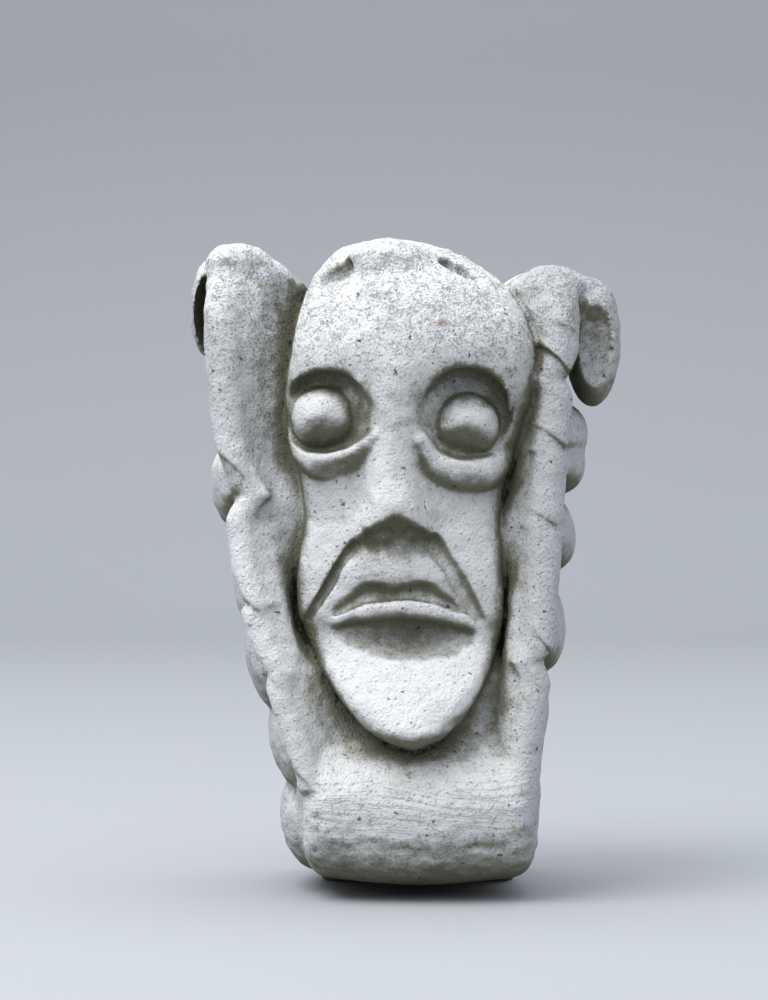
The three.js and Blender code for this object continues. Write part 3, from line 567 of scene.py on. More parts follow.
@dataclass
class Leaf:
    """A thick leaf beside the head: a web from its outer rim over a bend to its root.

    Rows of the rim, bend and root are height, x, depth and radius; x of the rim is its outer
    edge. A notch is height, cut, reach above and reach below. A fold is x and height of a point
    on it, slope, how far the lobe above stands out over it, how far up that lobe swells, and how
    far from the middle the fold starts.
    """

    side: int
    rim: Rows
    bend: Rows
    root: Rows
    tops: Triple
    notches: Rows
    folds: Rows
    foot_z: float = -96.0
    fold_edge: float = 1.3
    fold_bend: float = 0.022
    web_join: float = 4.0

    def rim_middle(self, z: Array) -> Array:
        """X of the rim's middle line: its edge, less its radius, drawn in at each notch."""
        inward = Curve(self.rim, 3)(z)
        for at, depth, above, below in self.notches:
            away = np.where(z > at, (z - at) / above, (at - z) / below)
            inward = inward + depth * np.maximum(1.0 - away, 0.0) ** 1.4
        return Curve(self.rim, 1)(z) - self.side * inward

    def web(self, p: Points, outer: Rows, inner: Rows, tops: tuple[float, float]) -> Array:
        """Distance to a web between two upright rails.

        At each height the web is a straight line from the inner rail to the outer one, and its
        thickness runs from one radius to the other. Over its top and under its foot the height
        past the end counts as a third side of the gap.

        Args:
            p: The points.
            outer: Rows of the outer rail.
            inner: Rows of the inner rail.
            tops: Heights at which the outer and the inner rail end.

        Returns:
            Distances, a little shortened.
        """
        start_x, start_depth = Curve(inner, 1)(p.z), Curve(inner, 2)(p.z)
        end_x = self.rim_middle(p.z) if outer is self.rim else Curve(outer, 1)(p.z)
        along_x, along_depth = end_x - start_x, Curve(outer, 2)(p.z) - start_depth
        dot = (p.x - start_x) * along_x + (p.depth - start_depth) * along_depth
        t = np.clip(dot / (along_x**2 + along_depth**2), 0.0, 1.0)
        thin, thick = Curve(inner, 3)(p.z), Curve(outer, 3)(p.z)
        over = np.maximum(p.z - tops[1] - (tops[0] - tops[1]) * t, 0.0)
        over = over + np.minimum(p.z - self.foot_z, 0.0)
        gap_x = p.x - start_x - along_x * t
        gap_depth = p.depth - start_depth - along_depth * t
        return (np.sqrt(gap_x**2 + gap_depth**2 + over**2) - thin - (thick - thin) * t) * 0.9

    def swelling(self, p: Points) -> Array:
        """How far the lobes stand out.

        Over a fold the lobe stands out most, and that dies away squared up to the lobe's length
        and towards the head; under the fold it isn't there, so each lobe ends in a small step
        over the next. A fold bends down to either side of its point.
        """
        out = np.zeros(p.x.shape)
        for x, z, slope, height, length, inner in self.folds:
            over = p.z - z - slope * (p.x - x) + self.fold_bend * (p.x - x) ** 2
            fading = np.clip(1.0 - over / length, 0.0, 1.0) ** 2
            fading = fading * ramp(np.abs(p.x), inner - 3.0, inner + 9.0)
            out = out + height * fading * ramp(over, -self.fold_edge, self.fold_edge)
        return out

    def field(self, p: Points) -> Array:
        """Both webs joined over the bend, and drawn out from the wall by the lobes' swelling."""
        rim_top, bend_top, root_top = self.tops
        p = Points(p.x, p.depth - self.swelling(p), p.z)
        front = self.web(p, self.rim, self.bend, (rim_top, bend_top))
        flank = self.web(p, self.bend, self.root, (bend_top, root_top))
        return join(front, flank, self.web_join)


def left_leaf() -> Leaf:
    """The leaf to the viewer's left."""
    return Leaf(
        side=-1,
        rim=(
            (139, -88, 84, 8.5), (123, -89.5, 92, 8.5), (63, -85.5, 100, 8), (20, -79.5, 104, 7),
            (-20, -72, 112, 6.5), (-59, -58.5, 118, 6), (-95, -46, 119, 6),
        ),
        bend=(
            (131, -66.5, 80, 8), (105, -72, 89, 7.5), (63, -71.5, 93, 7), (31, -65, 95, 6.5),
            (-23, -56.5, 105, 6.5), (-60, -45.5, 111, 6), (-95, -39, 114, 6),
        ),
        root=(
            (125, -50.5, 66, 9), (105, -52, 74, 9), (55, -51, 82, 9), (15, -47, 88, 9),
            (-4, -45, 82, 8), (-18, -44, 62, 8), (-27, -42, 66, 8), (-42, -38, 92, 9),
            (-62, -30.5, 98, 9), (-96, -22, 100, 10),
        ),
        tops=(139, 132, 124),
        notches=((33, 8, 26, 13), (-16, 4, 14, 4), (-47, 3.5, 16, 8)),
        folds=(
            (-76, 47, -0.9, 3.2, 30, 68), (-66, -17, -0.8, 3.4, 34, 60),
            (-60, -47, -0.8, 3.2, 26, 52), (-46, -92, -0.9, 3.2, 36, 39),
        ),
    )


def right_leaf() -> Leaf:
    """The leaf to the viewer's right."""
    return Leaf(
        side=1,
        rim=(
            (133, 81, 84, 9), (123, 83, 90, 9.5), (104, 82, 95, 9.5), (68, 78, 100, 8.5),
            (31, 75, 105, 8), (-20, 71.5, 111, 7.5), (-66, 66.5, 117, 7.5), (-100, 62, 118, 7.5),
        ),
        bend=(
            (125, 60.5, 82, 9), (105, 63, 86, 9), (77, 64.5, 89, 8.5), (31, 61.5, 94, 8),
            (-33, 56.5, 103, 7.5), (-68, 54.5, 110, 7.5), (-100, 52.5, 113, 8),
        ),
        root=(
            (123, 53, 78, 9), (106, 54, 86, 9), (77, 54, 90, 9), (55, 53, 84, 9), (38, 51, 80, 9),
            (18, 50, 90, 9), (-3, 50, 88, 8), (-18, 50, 70, 8), (-30, 49, 70, 8),
            (-45, 47, 82, 8), (-62, 45, 92, 9), (-101, 49.5, 100, 10),
        ),
        tops=(129, 125.5, 122),
        notches=((86, 4.5, 14, 8), (54, 1.5, 10, 3), (20, 1.5, 6, 6), (-42, 4.5, 10, 10)),
        folds=(
            (73, 112, -0.4, 1.6, 12, 66), (66, 100, -0.66, 3.4, 26, 54),
            (66, 62.5, -0.6, 2.4, 26, 58), (62, 25, -0.45, 1.8, 26, 55),
            (60, -28, -1.0, 2.4, 34, 55),
        ),
    )


@dataclass
class Curl:
    """The tip of a leaf, curled over: a lobe with a hollow, and the arch that carries it."""

    lobe: Lump
    hollow: Lump
    arch: Strand
    arch_join: float = 5.0
    hollow_round: float = 1.2

    def field(self, p: Points) -> Array:
        """The lobe joined to its arch, with the hollow cut out."""
        whole = join(self.lobe.distance(p), self.arch.distance(p), self.arch_join)
        return cut(whole, self.hollow.distance(p), self.hollow_round)


@dataclass
class Foliage:
    """Both leaves, the drooping lobes down their flanks, and the curls at their tops."""

    leaves: tuple[Leaf, ...] = field(default_factory=lambda: (left_leaf(), right_leaf()))
    flank_lobes: tuple[Lump, ...] = (
        Lump((-73, 58, 39.5), (15.5, 46, 23), 1),
        Lump((-62, 60, -9.5), (15.5, 48, 31), 8),
        Lump((-56.5, 62, -43.5), (15, 50, 27), 14),
        Lump((-45.5, 64, -82.5), (14.5, 50, 25), 15),
        Lump((-40.5, 58, -118.5), (15.5, 46, 24), 7),
        Lump((72, 60, 61), (16, 44, 17), -20),
        Lump((71.5, 58, 48), (16, 46, 14.5), -6),
        Lump((67, 60, 16), (15.5, 48, 20), 13),
        Lump((63, 60, -26), (14.6, 50, 24), 8),
        Lump((56, 62, -67.5), (14, 50, 29), -3),
        Lump((52, 58, -109), (14, 46, 25), -5),
    )
    curls: tuple[Curl, ...] = (
        Curl(
            Lump((90.5, 68, 105), (13, 26, 30)),
            Lump((90.5, 93, 100), (9.8, 9.5, 24)),
            Strand((
                (52.5, 74, 122, 10), (67.5, 80, 129, 11), (80, 79, 127.5, 10), (90.5, 74, 122.5, 8),
            )),
        ),
        Curl(
            Lump((-90, 58, 121.5), (8.4, 22, 23)),
            Lump((-90.5, 76, 116.5), (5, 22, 19)),
            Strand((
                (-51, 64, 126.5, 8), (-61.5, 74, 134.5, 9), (-71.5, 80, 140, 9.5),
                (-80.5, 82, 139, 9.5),
            )),
        ),
    )
    fillet: float = 3.0

    def field(self, p: Points) -> Array:
        """Leaves, flank lobes and curls joined with small fillets."""
        solid = np.minimum(self.leaves[0].field(p), self.leaves[1].field(p))
        solid = add_all(solid, self.flank_lobes, p, self.fillet)
        for curl in self.curls:
            solid = join(solid, curl.field(p), self.fillet)
        return solid


@dataclass
class Block:
    """The block that runs into the wall, and the fat roll that it carries under the chin."""

    top_z: float = 118.0
    side_round: float = 14.0
    widths: Rows = ((-150, 46), (-130, 50), (-90, 51), (-40, 54), (20, 58), (80, 58), (120, 54))
    middles: Rows = ((-150, 9), (-60, 4), (0, 0), (120, -2))
    depths: Rows = (
        (-150, 50), (-135, 78), (-110, 96), (-80, 104), (-60, 104), (-40, 98), (-24, 78),
        (0, 60), (60, 52), (120, 50),
    )
    roll: Strand = Strand(((-29.5, 96, -109, 33), (9.5, 98, -110, 35), (48, 96, -109, 33)))
    roll_middle_x: float = 9.5
    roll_half_width: float = 53.0
    roll_round: float = 12.0
    top_round: float = 4.0

    def field(self, p: Points) -> Array:
        """The block between its sides, front and top, joined to the roll, squared at its ends."""
        sides = np.abs(p.x - Curve(self.middles)(p.z)) - Curve(self.widths)(p.z)
        solid = meet(sides, p.depth - Curve(self.depths)(p.z), self.side_round)
        solid = meet(solid, p.z - self.top_z, self.top_round)
        ends = np.abs(p.x - self.roll_middle_x) - self.roll_half_width
        roll = meet(self.roll.distance(p), ends, self.roll_round)
        return join(solid, roll, self.side_round)


# The surface of the carving


@dataclass
class Lattice:
    """Nodes on a regular grid, with the value of a field at each."""

    low: Triple
    high: Triple
    step: float

    def __post_init__(self) -> None:
        """Lays out the three axes."""
        self.axes = [np.arange(a, b + self.step, self.step) for a, b in zip(self.low, self.high)]
        self.values = np.zeros([len(axis) for axis in self.axes], np.float32)

    def points(self, nodes: Array) -> Points:
        """The places of some nodes, given as rows of three indices."""
        return Points(*(axis[nodes[:, i]] for i, axis in enumerate(self.axes)))

    def fill(self, solid: Field) -> "Lattice":
        """Works the field out at every node."""
        nodes = np.argwhere(np.ones(self.values.shape, bool))
        self.values[:] = solid(self.points(nodes)).reshape(self.values.shape)
        return self

    def sample(self, rows: Array) -> Array:
        """Values between the nodes: the mean of the eight round each point, by nearness.

        Args:
            rows: Rows of x, depth and height; points outside take the nearest value inside.

        Returns:
            One value a point.
        """
        place = (rows - np.array(self.low)) / self.step
        place = np.clip(place, 0.0, np.array(self.values.shape) - 1.001)
        low = place.astype(np.int64)
        t = place - low
        total = np.zeros(len(rows))
        for corner in CORNERS:
            at = low + corner
            weight = np.prod(np.where(corner == 1, t, 1.0 - t), axis=1)
            total += weight * self.values[at[:, 0], at[:, 1], at[:, 2]]
        return total

    def refine(self, coarse: "Lattice", solid: Field, band: float) -> "Lattice":
        """Takes far values from a coarse lattice and works out the near ones.

        Args:
            coarse: A lattice of the same field over the same room.
            solid: The field.
            band: How near the surface, in mm, a node counts as near.

        Returns:
            This lattice.
        """
        values = coarse.values
        for i, axis in enumerate(self.axes):
            place = np.clip((axis - coarse.low[i]) / coarse.step, 0, values.shape[i] - 1.001)
            low = place.astype(np.int64)
            t = (place - low).reshape([-1 if j == i else 1 for j in range(3)])
            values = np.take(values, low, axis=i) * (1.0 - t) + np.take(values, low + 1, axis=i) * t
        self.values[:] = values
        near = np.argwhere(np.abs(self.values) < band)
        self.values[near[:, 0], near[:, 1], near[:, 2]] = solid(self.points(near))
        return self

    def net(self) -> tuple[Array, Array]:
        """The surface where the values change sign, as a net of four-sided faces.

        Every cell that the surface passes through gets one vertex, at the mean of the places
        where it crosses the cell's twelve edges. Every edge between two nodes that it crosses
        gets one face, from the vertices of the four cells round that edge.

        Returns:
            Rows of x, depth and height, and rows of four vertex numbers.
        """
        inside = self.values < 0.0
        cells = [slice(None, -1), slice(1, None)]
        filled = sum(inside[tuple(cells[c] for c in corner)].astype(np.int8) for corner in CORNERS)
        live = (filled > 0) & (filled < 8)
        cell = np.argwhere(live)
        at = cell[:, None, :] + CORNERS[None]
        value = self.values[at[..., 0], at[..., 1], at[..., 2]].astype(float)
        ends = np.array([(a, b) for a in range(8) for b in range(a + 1, 8)
                         if np.abs(CORNERS[a] - CORNERS[b]).sum() == 1])
        start, stop = value[:, ends[:, 0]], value[:, ends[:, 1]]
        crossed = (start < 0.0) != (stop < 0.0)
        t = np.where(crossed, start / np.where(crossed, start - stop, 1.0), 0.0)
        spot = CORNERS[ends[:, 0]] + t[..., None] * (CORNERS[ends[:, 1]] - CORNERS[ends[:, 0]])
        mean = (spot * crossed[..., None]).sum(1) / crossed.sum(1)[:, None]
        rows = np.array(self.low) + (cell + mean) * self.step
        names = np.full(live.shape, -1, np.int64)
        names[live] = np.arange(len(cell))
        return rows, np.vstack([self._faces_across(axis, inside, names) for axis in range(3)])

    def _faces_across(self, axis: int, inside: Array, names: Array) -> Array:
        """The faces round the grid edges that run along one axis and are crossed.

        Args:
            axis: Which axis.
            inside: Whether each node is in the stone.
            names: Vertex number of each cell.

        Returns:
            Rows of four vertex numbers, turned so that they face outwards.
        """
        first, second = [i for i in range(3) if i != axis]
        here, there = [slice(None)] * 3, [slice(None)] * 3
        here[axis], there[axis] = slice(0, -1), slice(1, None)
        crossed = inside[tuple(here)] != inside[tuple(there)]
        inner = [slice(None)] * 3
        inner[first] = slice(1, inside.shape[first] - 1)
        inner[second] = slice(1, inside.shape[second] - 1)
        edge = np.argwhere(crossed[tuple(inner)])
        edge[:, first] += 1
        edge[:, second] += 1
        corners = []
        for back_first, back_second in ((1, 1), (0, 1), (0, 0), (1, 0)):
            at = edge.copy()
            at[:, first] -= back_first
            at[:, second] -= back_second
            corners.append(names[at[:, 0], at[:, 1], at[:, 2]])
        faces = np.stack(corners, axis=1)
        turned = inside[edge[:, 0], edge[:, 1], edge[:, 2]] == (axis != 1)
        faces[turned] = faces[turned][:, ::-1]
        return faces


def largest_island(rows: Array, faces: Array) -> tuple[Array, Array]:
    """Keeps the biggest connected piece of a mesh.

    Each vertex takes the least number among its neighbours' until none changes, so that every
    island ends up with one number of its own.

    Args:
        rows: Places of the vertices.
        faces: Rows of four vertex numbers.

    Returns:
        The vertices and faces that are kept.
    """
    name = np.arange(len(rows))
    while True:
        least = name[faces].min(1)
        new = name.copy()
        for corner in range(4):
            np.minimum.at(new, faces[:, corner], least)
        new = new[new]
        if np.array_equal(new, name):
            break
        name = new
    kept = name == np.bincount(name).argmax()
    faces = faces[kept[faces[:, 0]]]
    return rows[kept], (np.cumsum(kept) - 1)[faces]


def slope_of(solid: Field, rows: Array, reach: float = 0.3) -> tuple[Array, Array]:
    """The field and its slope at some points.

    The slope is the field's rise from each point over a short step along each axis.

    Args:
        solid: The field.
        rows: Rows of x, depth and height.
        reach: Length of the step, in mm.

    Returns:
        Values, and rows of slopes.
    """
    here = solid(Points.of(rows))
    rises = [(solid(Points.of(rows + reach * way)) - here) / reach for way in np.eye(3)]
    return here, np.stack(rises, axis=1)


def settled(solid: Field, rows: Array, rounds: int, most: float) -> Array:
    """Moves points onto the surface by Newton's rule: value over squared slope, along the slope."""
    for _ in range(rounds):
        value, slope = slope_of(solid, rows)
        size = np.maximum((slope**2).sum(1), 0.1)
        rows = rows - np.clip(value / size, -most, most)[:, None] * slope
    return rows


@dataclass
class ShadeAndWeather:
    """How hidden, hollow and turned up or down each point of the surface is, worked out from the
    field round it; the finish lays grime, dust and painted shade by it.
    """

    coarse: Lattice
    fine: Lattice
    crease_reaches: tuple[float, ...] = (1.6, 3.4)
    recess_reaches: tuple[float, ...] = (8.0, 16.0, 28.0)
    sky_ways: tuple[Triple, ...] = (
        (0, 0.35, 0.94), (0.6, 0.4, 0.7), (-0.6, 0.4, 0.7), (0, 0.85, 0.53), (0, 0, 1.0),
    )
    sky_steps: tuple[float, ...] = (6.0, 13.0, 24.0, 40.0)
    first_step: float = 3.0

    def room(self, rows: Array, reach: float) -> Array:
        """How open it is at some points: 0 in a crack or in the stone, 1 where all is clear."""
        lattice = self.fine if reach < 4.0 else self.coarse
        return np.clip(lattice.sample(rows) / (0.85 * reach), 0.0, 1.0)

    def hollow(self, rows: Array, normals: Array, reaches: tuple[float, ...]) -> Array:
        """How far a point lies in a hollow: one less the mean room at some steps out."""
        open_air = [self.room(rows + normals * reach, reach) for reach in reaches]
        return 1.0 - sum(open_air) / len(reaches)

    def shelter(self, rows: Array, normals: Array) -> Array:
        """How much of the sky is hidden: the tightest room along some ways up, on average."""
        start = rows + normals * self.first_step
        hidden = np.zeros(len(rows))
        for way in np.array(self.sky_ways):
            tightest = np.ones(len(rows))
            for step in self.sky_steps:
                tightest = np.minimum(tightest, self.room(start + way * step, 0.55 * step + 2.0))
            hidden += (1.0 - tightest) / len(self.sky_ways)
        return hidden

    def marks(self, rows: Array, normals: Array) -> dict[str, Array]:
        """The named values that the finish reads.

        Args:
            rows: Rows of x, depth and height.
            normals: Unit normals in the same axes.

        Returns:
            Values from 0 to 1 by name, one a point.
        """
        return {
            "crease": self.hollow(rows, normals, self.crease_reaches),
            "recess": self.hollow(rows, normals, self.recess_reaches),
            "shelter": self.shelter(rows, normals),
            "skyward": np.clip(normals[:, 2], 0.0, 1.0),
            "underside": np.clip(-normals[:, 2], 0.0, 1.0),
        }


@dataclass(frozen=True)
class Strokes:
    """Noise drawn out along X into strokes, which fall by a slant for each mm of it."""

    stretch: Triple
    slant: float
    size: float
    seed: int

    def height(self, rows: Array) -> Array:
        """The noise at rows of x, depth and height."""
        drawn = rows * np.array(self.stretch) + np.array([0.0, 0.0, self.slant]) * rows[:, :1]
        return value_noise(drawn, self.size, self.seed)


@dataclass(frozen=True)
class Wear:
    """How far the worn surface stands off the carved one.

    Coats are the heights and sizes of the noises for tool marks and coats of paint, from wide to
    fine. Pits grow towards the top, where the weather bites. Strokes are brush marks on the roll.
    All of it fades out towards the wall and the foot. A span is where a share starts and is full.
    """

    coats: Rows = ((0.5, 17.0), (0.34, 7.5), (0.24, 3.8))
    pit_height: float = 0.55
    pit_size: float = 4.2
    pit_patches: float = 13.0
    pitted_span: tuple[float, float] = (85.0, 135.0)
    stroke_height: float = 0.34
    stroke_patches: float = 9.0
    stroked_span: tuple[float, float] = (-88.0, -100.0)
    level: Strokes = Strokes((0.22, 0.5, 1.0), 0.12, 4.0, 6)
    tilted: Strokes = Strokes((0.3, 0.5, 1.0), -0.3, 3.2, 7)
    wall_span: tuple[float, float] = (4.0, 30.0)
    foot_span: tuple[float, float] = (2.0, 14.0)

    def offset(self, rows: Array, foot_z: float) -> Array:
        """The distance in mm at rows of x, depth and height, outwards where it is positive."""
        total = np.zeros(len(rows))
        for seed, (height, size) in enumerate(self.coats, 1):
            total = total + height * value_noise(rows, size, seed)
        patches = 0.6 + 0.6 * value_noise(rows, self.pit_patches, 5)
        crown = ramp(rows[:, 2], *self.pitted_span)
        pitted = self.pit_height * crown * value_noise(rows, self.pit_size, 4) * patches
        broken = 0.5 + value_noise(rows, self.stroke_patches, 8)
        marks = self.level.height(rows) * broken + 0.8 * self.tilted.height(rows)
        strokes = self.stroke_height * ramp(rows[:, 2], *self.stroked_span) * marks
        start, full = self.foot_span
        fade = ramp(rows[:, 1], *self.wall_span)
        fade = fade * ramp(rows[:, 2], foot_z + start, foot_z + full)
        return (total + pitted + strokes) * fade


@dataclass
class CarvedMask:
    """The whole carving, as one stone."""

    eyes: Eyes = field(default_factory=Eyes)
    nose_and_mouth: NoseAndMouth = field(default_factory=NoseAndMouth)
    foliage: Foliage = field(default_factory=Foliage)
    block: Block = field(default_factory=Block)
    wear: Wear = Wear()
    foot_z: float = -150.0
    low: Triple = (-110.0, -8.0, -158.0)
    high: Triple = (110.0, 150.0, 160.0)
    coarse_step: float = 4.5
    fine_step: float = 1.3
    quick_step: float = 2.4
    band: float = 7.0
    triangles: int = 185000
    bump_join: float = 6.0
    foliage_join: float = 3.0
    head_join: float = 1.5
    sharp_angle: float = 58.0

    def face(self, p: Points) -> Array:
        """The head with its nose, mouth and eyes, under its cap."""
        head = self.nose_and_mouth.head
        solid = join(self.nose_and_mouth.body(p), head.bump.distance(p), self.bump_join)
        solid = self.nose_and_mouth.cut_in(solid, p)
        return head.crowned(self.eyes.field(solid, p), p)

    def field(self, p: Points) -> Array:
        """Block, foliage and head joined, running on behind the wall plane and below the foot."""
        solid = join(self.block.field(p), self.foliage.field(p), self.foliage_join)
        return join(solid, self.face(p), self.head_join)

    def build(self, finish: "PaintedStone", cut_finish: "SawnStone") -> bpy.types.Object:
        """Finds the surface, wears it, saws it flat, thins its mesh and marks the hollows and
        facings that its grime and painted shade follow.

        Args:
            finish: The finish of the carving.
            cut_finish: The finish of the sawn faces.

        Returns:
            The finished object.
        """
        step = self.fine_step
        coarse = Lattice(self.low, self.high, self.coarse_step).fill(self.field)
        fine = Lattice(self.low, self.high, step).refine(coarse, self.field, self.band)
        rim = np.ones(fine.values.shape, bool)
        rim[1:-1, 1:-1, 1:-1] = False
        fine.values[rim] = np.maximum(fine.values[rim], 0.5)
        rows, faces = largest_island(*fine.net())
        LOG.info("net of %d vertices and %d faces", len(rows), len(faces))
        rows = settled(self.field, rows, 2, 0.6 * step)
        _, slope = slope_of(self.field, rows)
        normals = slope / np.maximum(np.linalg.norm(slope, axis=1), 1e-6)[:, None]
        rows = rows + normals * self.wear.offset(rows, self.foot_z)[:, None]
        piece = self.sawn(rows, faces)
        thin(piece, self.triangles)
        self.mark(piece, ShadeAndWeather(coarse, fine))
        piece.data.materials.append(finish.build())
        piece.data.materials.append(cut_finish.build())
        return piece

    def sawn(self, rows: Array, faces: Array) -> bpy.types.Object:
        """Makes the mesh and saws it off flat at the wall plane and at the foot.

        Args:
            rows: Rows of x, depth and height in mm.
            faces: Rows of four vertex numbers.

        Returns:
            The object, whose sawn faces carry the second finish.
        """
        places = np.stack([rows[:, 0], -rows[:, 1], rows[:, 2]], axis=1) * MM
        mesh = bpy.data.meshes.new("grotesque_mask_carving")
        mesh.from_pydata(places.tolist(), [], faces.tolist())
        form = bmesh.new()
        form.from_mesh(mesh)
        for place, outward in (((0, 0, 0), (0, 1, 0)), ((0, 0, self.foot_z * MM), (0, 0, -1))):
            everything = form.verts[:] + form.edges[:] + form.faces[:]
            cut_line = bmesh.ops.bisect_plane(
                form, geom=everything, dist=1e-6, plane_co=place, plane_no=outward, clear_outer=True)
            rim = [item for item in cut_line["geom_cut"] if isinstance(item, bmesh.types.BMEdge)]
            filled = bmesh.ops.triangle_fill(form, edges=rim, use_beauty=True, normal=outward)
            for item in filled["geom"]:
                if isinstance(item, bmesh.types.BMFace):
                    item.material_index = 1
        bmesh.ops.triangulate(form, faces=form.faces[:])
        bmesh.ops.recalc_face_normals(form, faces=form.faces[:])
        form.to_mesh(mesh)
        form.free()
        piece = bpy.data.objects.new("grotesque_mask_carving", mesh)
        bpy.context.scene.collection.objects.link(piece)
        return piece

    def mark(self, piece: bpy.types.Object, shade_and_weather: ShadeAndWeather) -> None:
        """Shades the mesh smooth between sharp sawn edges and stores by name the values that its
        grime and painted shade follow.
        """
        mesh = piece.data
        mesh.shade_smooth()
        mesh.set_sharp_from_angle(angle=math.radians(self.sharp_angle))
        places = np.empty(len(mesh.vertices) * 3)
        mesh.vertices.foreach_get("co", places)
        normals = np.empty(len(mesh.vertices) * 3)
        mesh.vertex_normals.foreach_get("vector", normals)
        turn = np.array([1.0, -1.0, 1.0])
        rows = places.reshape(-1, 3) * turn / MM
        for name, values in shade_and_weather.marks(rows, normals.reshape(-1, 3) * turn).items():
            store = mesh.attributes.new(name, "FLOAT", "POINT")
            store.data.foreach_set("value", values.astype(np.float32))


def thin(piece: bpy.types.Object, triangles: int) -> None:
    """Closes up the edges that matter least until so many triangles are left."""
    count = len(piece.data.polygons)
    if count <= triangles:
        return
    modifier = piece.modifiers.new("thinned", "DECIMATE")
    modifier.ratio = triangles / count
    graph = bpy.context.evaluated_depsgraph_get()
    mesh = bpy.data.meshes.new_from_object(piece.evaluated_get(graph))
    mesh.name = piece.data.name
    piece.modifiers.clear()
    old, piece.data = piece.data, mesh
    bpy.data.meshes.remove(old)


# Finishes


class Noise(Enum):
    """The textures that the finishes are made of."""

    CLOUDS = "ShaderNodeTexNoise"
    CELLS = "ShaderNodeTexVoronoi"


@dataclass(frozen=True)
class Fade:
    """Where a value starts to count, where it counts in full, and for how much it counts then."""

    start: float
    full: float
    top: float = 1.0


@dataclass(frozen=True)
class Cloud:
    """A cloudy noise: its scale, in clouds to a metre, its detail and its roughness."""

    scale: float
    detail: float
    roughness: float


@dataclass(frozen=True)
class Spot:
    """An ellipsoid with a ragged edge: its middle, its reach along each axis and its weight."""

    middle: Triple
    reach: Triple
    raggedness: float
    weight: float


class Nodes:
    """Lays out a shader tree: each call adds one node, links its inputs and gives an output."""

    def __init__(self, tree: bpy.types.NodeTree) -> None:
        """Starts on an empty tree."""
        self.tree = tree
        tree.nodes.clear()

    def add(self, kind: str, inputs: Optional[dict] = None, **settings) -> bpy.types.Node:
        """Adds a node.

        Args:
            kind: The node's type.
            inputs: Sockets by name or number, each a value or an output to link.
            **settings: Properties of the node.

        Returns:
            The node.
        """
        node = self.tree.nodes.new(kind)
        for name, value in settings.items():
            setattr(node, name, value)
        for name, value in (inputs or {}).items():
            if isinstance(value, bpy.types.NodeSocket):
                self.tree.links.new(value, node.inputs[name])
            else:
                node.inputs[name].default_value = value
        return node

    def math(self, operation: str, *values, clamp: bool = False) -> Socket:
        """A sum of one to three numbers or outputs."""
        inputs = dict(enumerate(values))
        node = self.add("ShaderNodeMath", inputs, operation=operation, use_clamp=clamp)
        return node.outputs[0]

    def plus(self, value, part, weight: float) -> Socket:
        """A value with a weighted part added."""
        return self.math("ADD", value, self.math("MULTIPLY", part, weight))

    def ramp(self, value, fade: Fade) -> Socket:
        """Eases from 0 at the start of a fade to its top."""
        node = self.add(
            "ShaderNodeMapRange",
            {"Value": value, "From Min": fade.start, "From Max": fade.full,
             "To Min": 0.0, "To Max": fade.top},
            interpolation_type="SMOOTHSTEP",
        )
        return node.outputs["Result"]

    def mix(self, share, first, second) -> Socket:
        """A colour between two others."""
        node = self.add("ShaderNodeMix", {0: share, 6: first, 7: second}, data_type="RGBA")
        return node.outputs[2]

    def noise(self, place: Socket, cloud: Cloud) -> Socket:
        """Cloudy noise, about 0.5 on average."""
        inputs = {"Vector": place, "Scale": cloud.scale, "Detail": cloud.detail,
                  "Roughness": cloud.roughness}
        return self.add(Noise.CLOUDS.value, inputs).outputs["Fac"]

    def swayed(self, value: Socket, noise: Socket, width: float) -> Socket:
        """Shifts a value up and down by a noise, by half a width either way."""
        return self.plus(value, self.math("SUBTRACT", noise, 0.5), width)

    def near(self, place: Socket, spot: Spot, noise: Socket) -> Socket:
        """Fades from 1 inside a spot to 0 at its edge."""
        away = self.add("ShaderNodeVectorMath", {0: place, 1: spot.middle}, operation="SUBTRACT")
        shares = {0: away.outputs[0], 1: tuple(1.0 / length for length in spot.reach)}
        share = self.add("ShaderNodeVectorMath", shares, operation="MULTIPLY")
        length = self.add("ShaderNodeVectorMath", {0: share.outputs[0]}, operation="LENGTH")
        far = self.swayed(length.outputs["Value"], noise, spot.raggedness)
        return self.ramp(far, Fade(1.0, 0.2))

    def group(self, name: str, place: Socket, **values: float) -> Socket:
        """Adds a shader group at a place and gives its first output."""
        node = self.add("ShaderNodeGroup", node_tree=bpy.data.node_groups[name])
        self.tree.links.new(place, node.inputs["Place"])
        for label, value in values.items():
            node.inputs[label].default_value = value
        return node.outputs[0]

    def mark(self, name: str) -> Socket:
        """A value stored on the mesh."""
        return self.add("ShaderNodeAttribute", attribute_name=name).outputs["Fac"]


def new_group(
    name: str, inputs: dict[str, Optional[float]], outputs: dict[str, str]
) -> tuple[Nodes, dict, dict]:
    """Starts a shader group with named sockets.

    Args:
        name: The group's name.
        inputs: Default of each input; a None stands for a vector.
        outputs: Socket type of each output.

    Returns:
        The group's nodes, its input sockets and its output sockets, both by name.
    """
    tree = bpy.data.node_groups.new(name, "ShaderNodeTree")
    for label, value in inputs.items():
        kind = "NodeSocketVector" if value is None else "NodeSocketFloat"
        socket = tree.interface.new_socket(label, in_out="INPUT", socket_type=kind)
        if value is not None:
            socket.default_value = value
    for label, kind in outputs.items():
        tree.interface.new_socket(label, in_out="OUTPUT", socket_type=kind)
    nodes = Nodes(tree)
    given = nodes.add("NodeGroupInput").outputs
    made = nodes.add("NodeGroupOutput").inputs
    return nodes, given, made


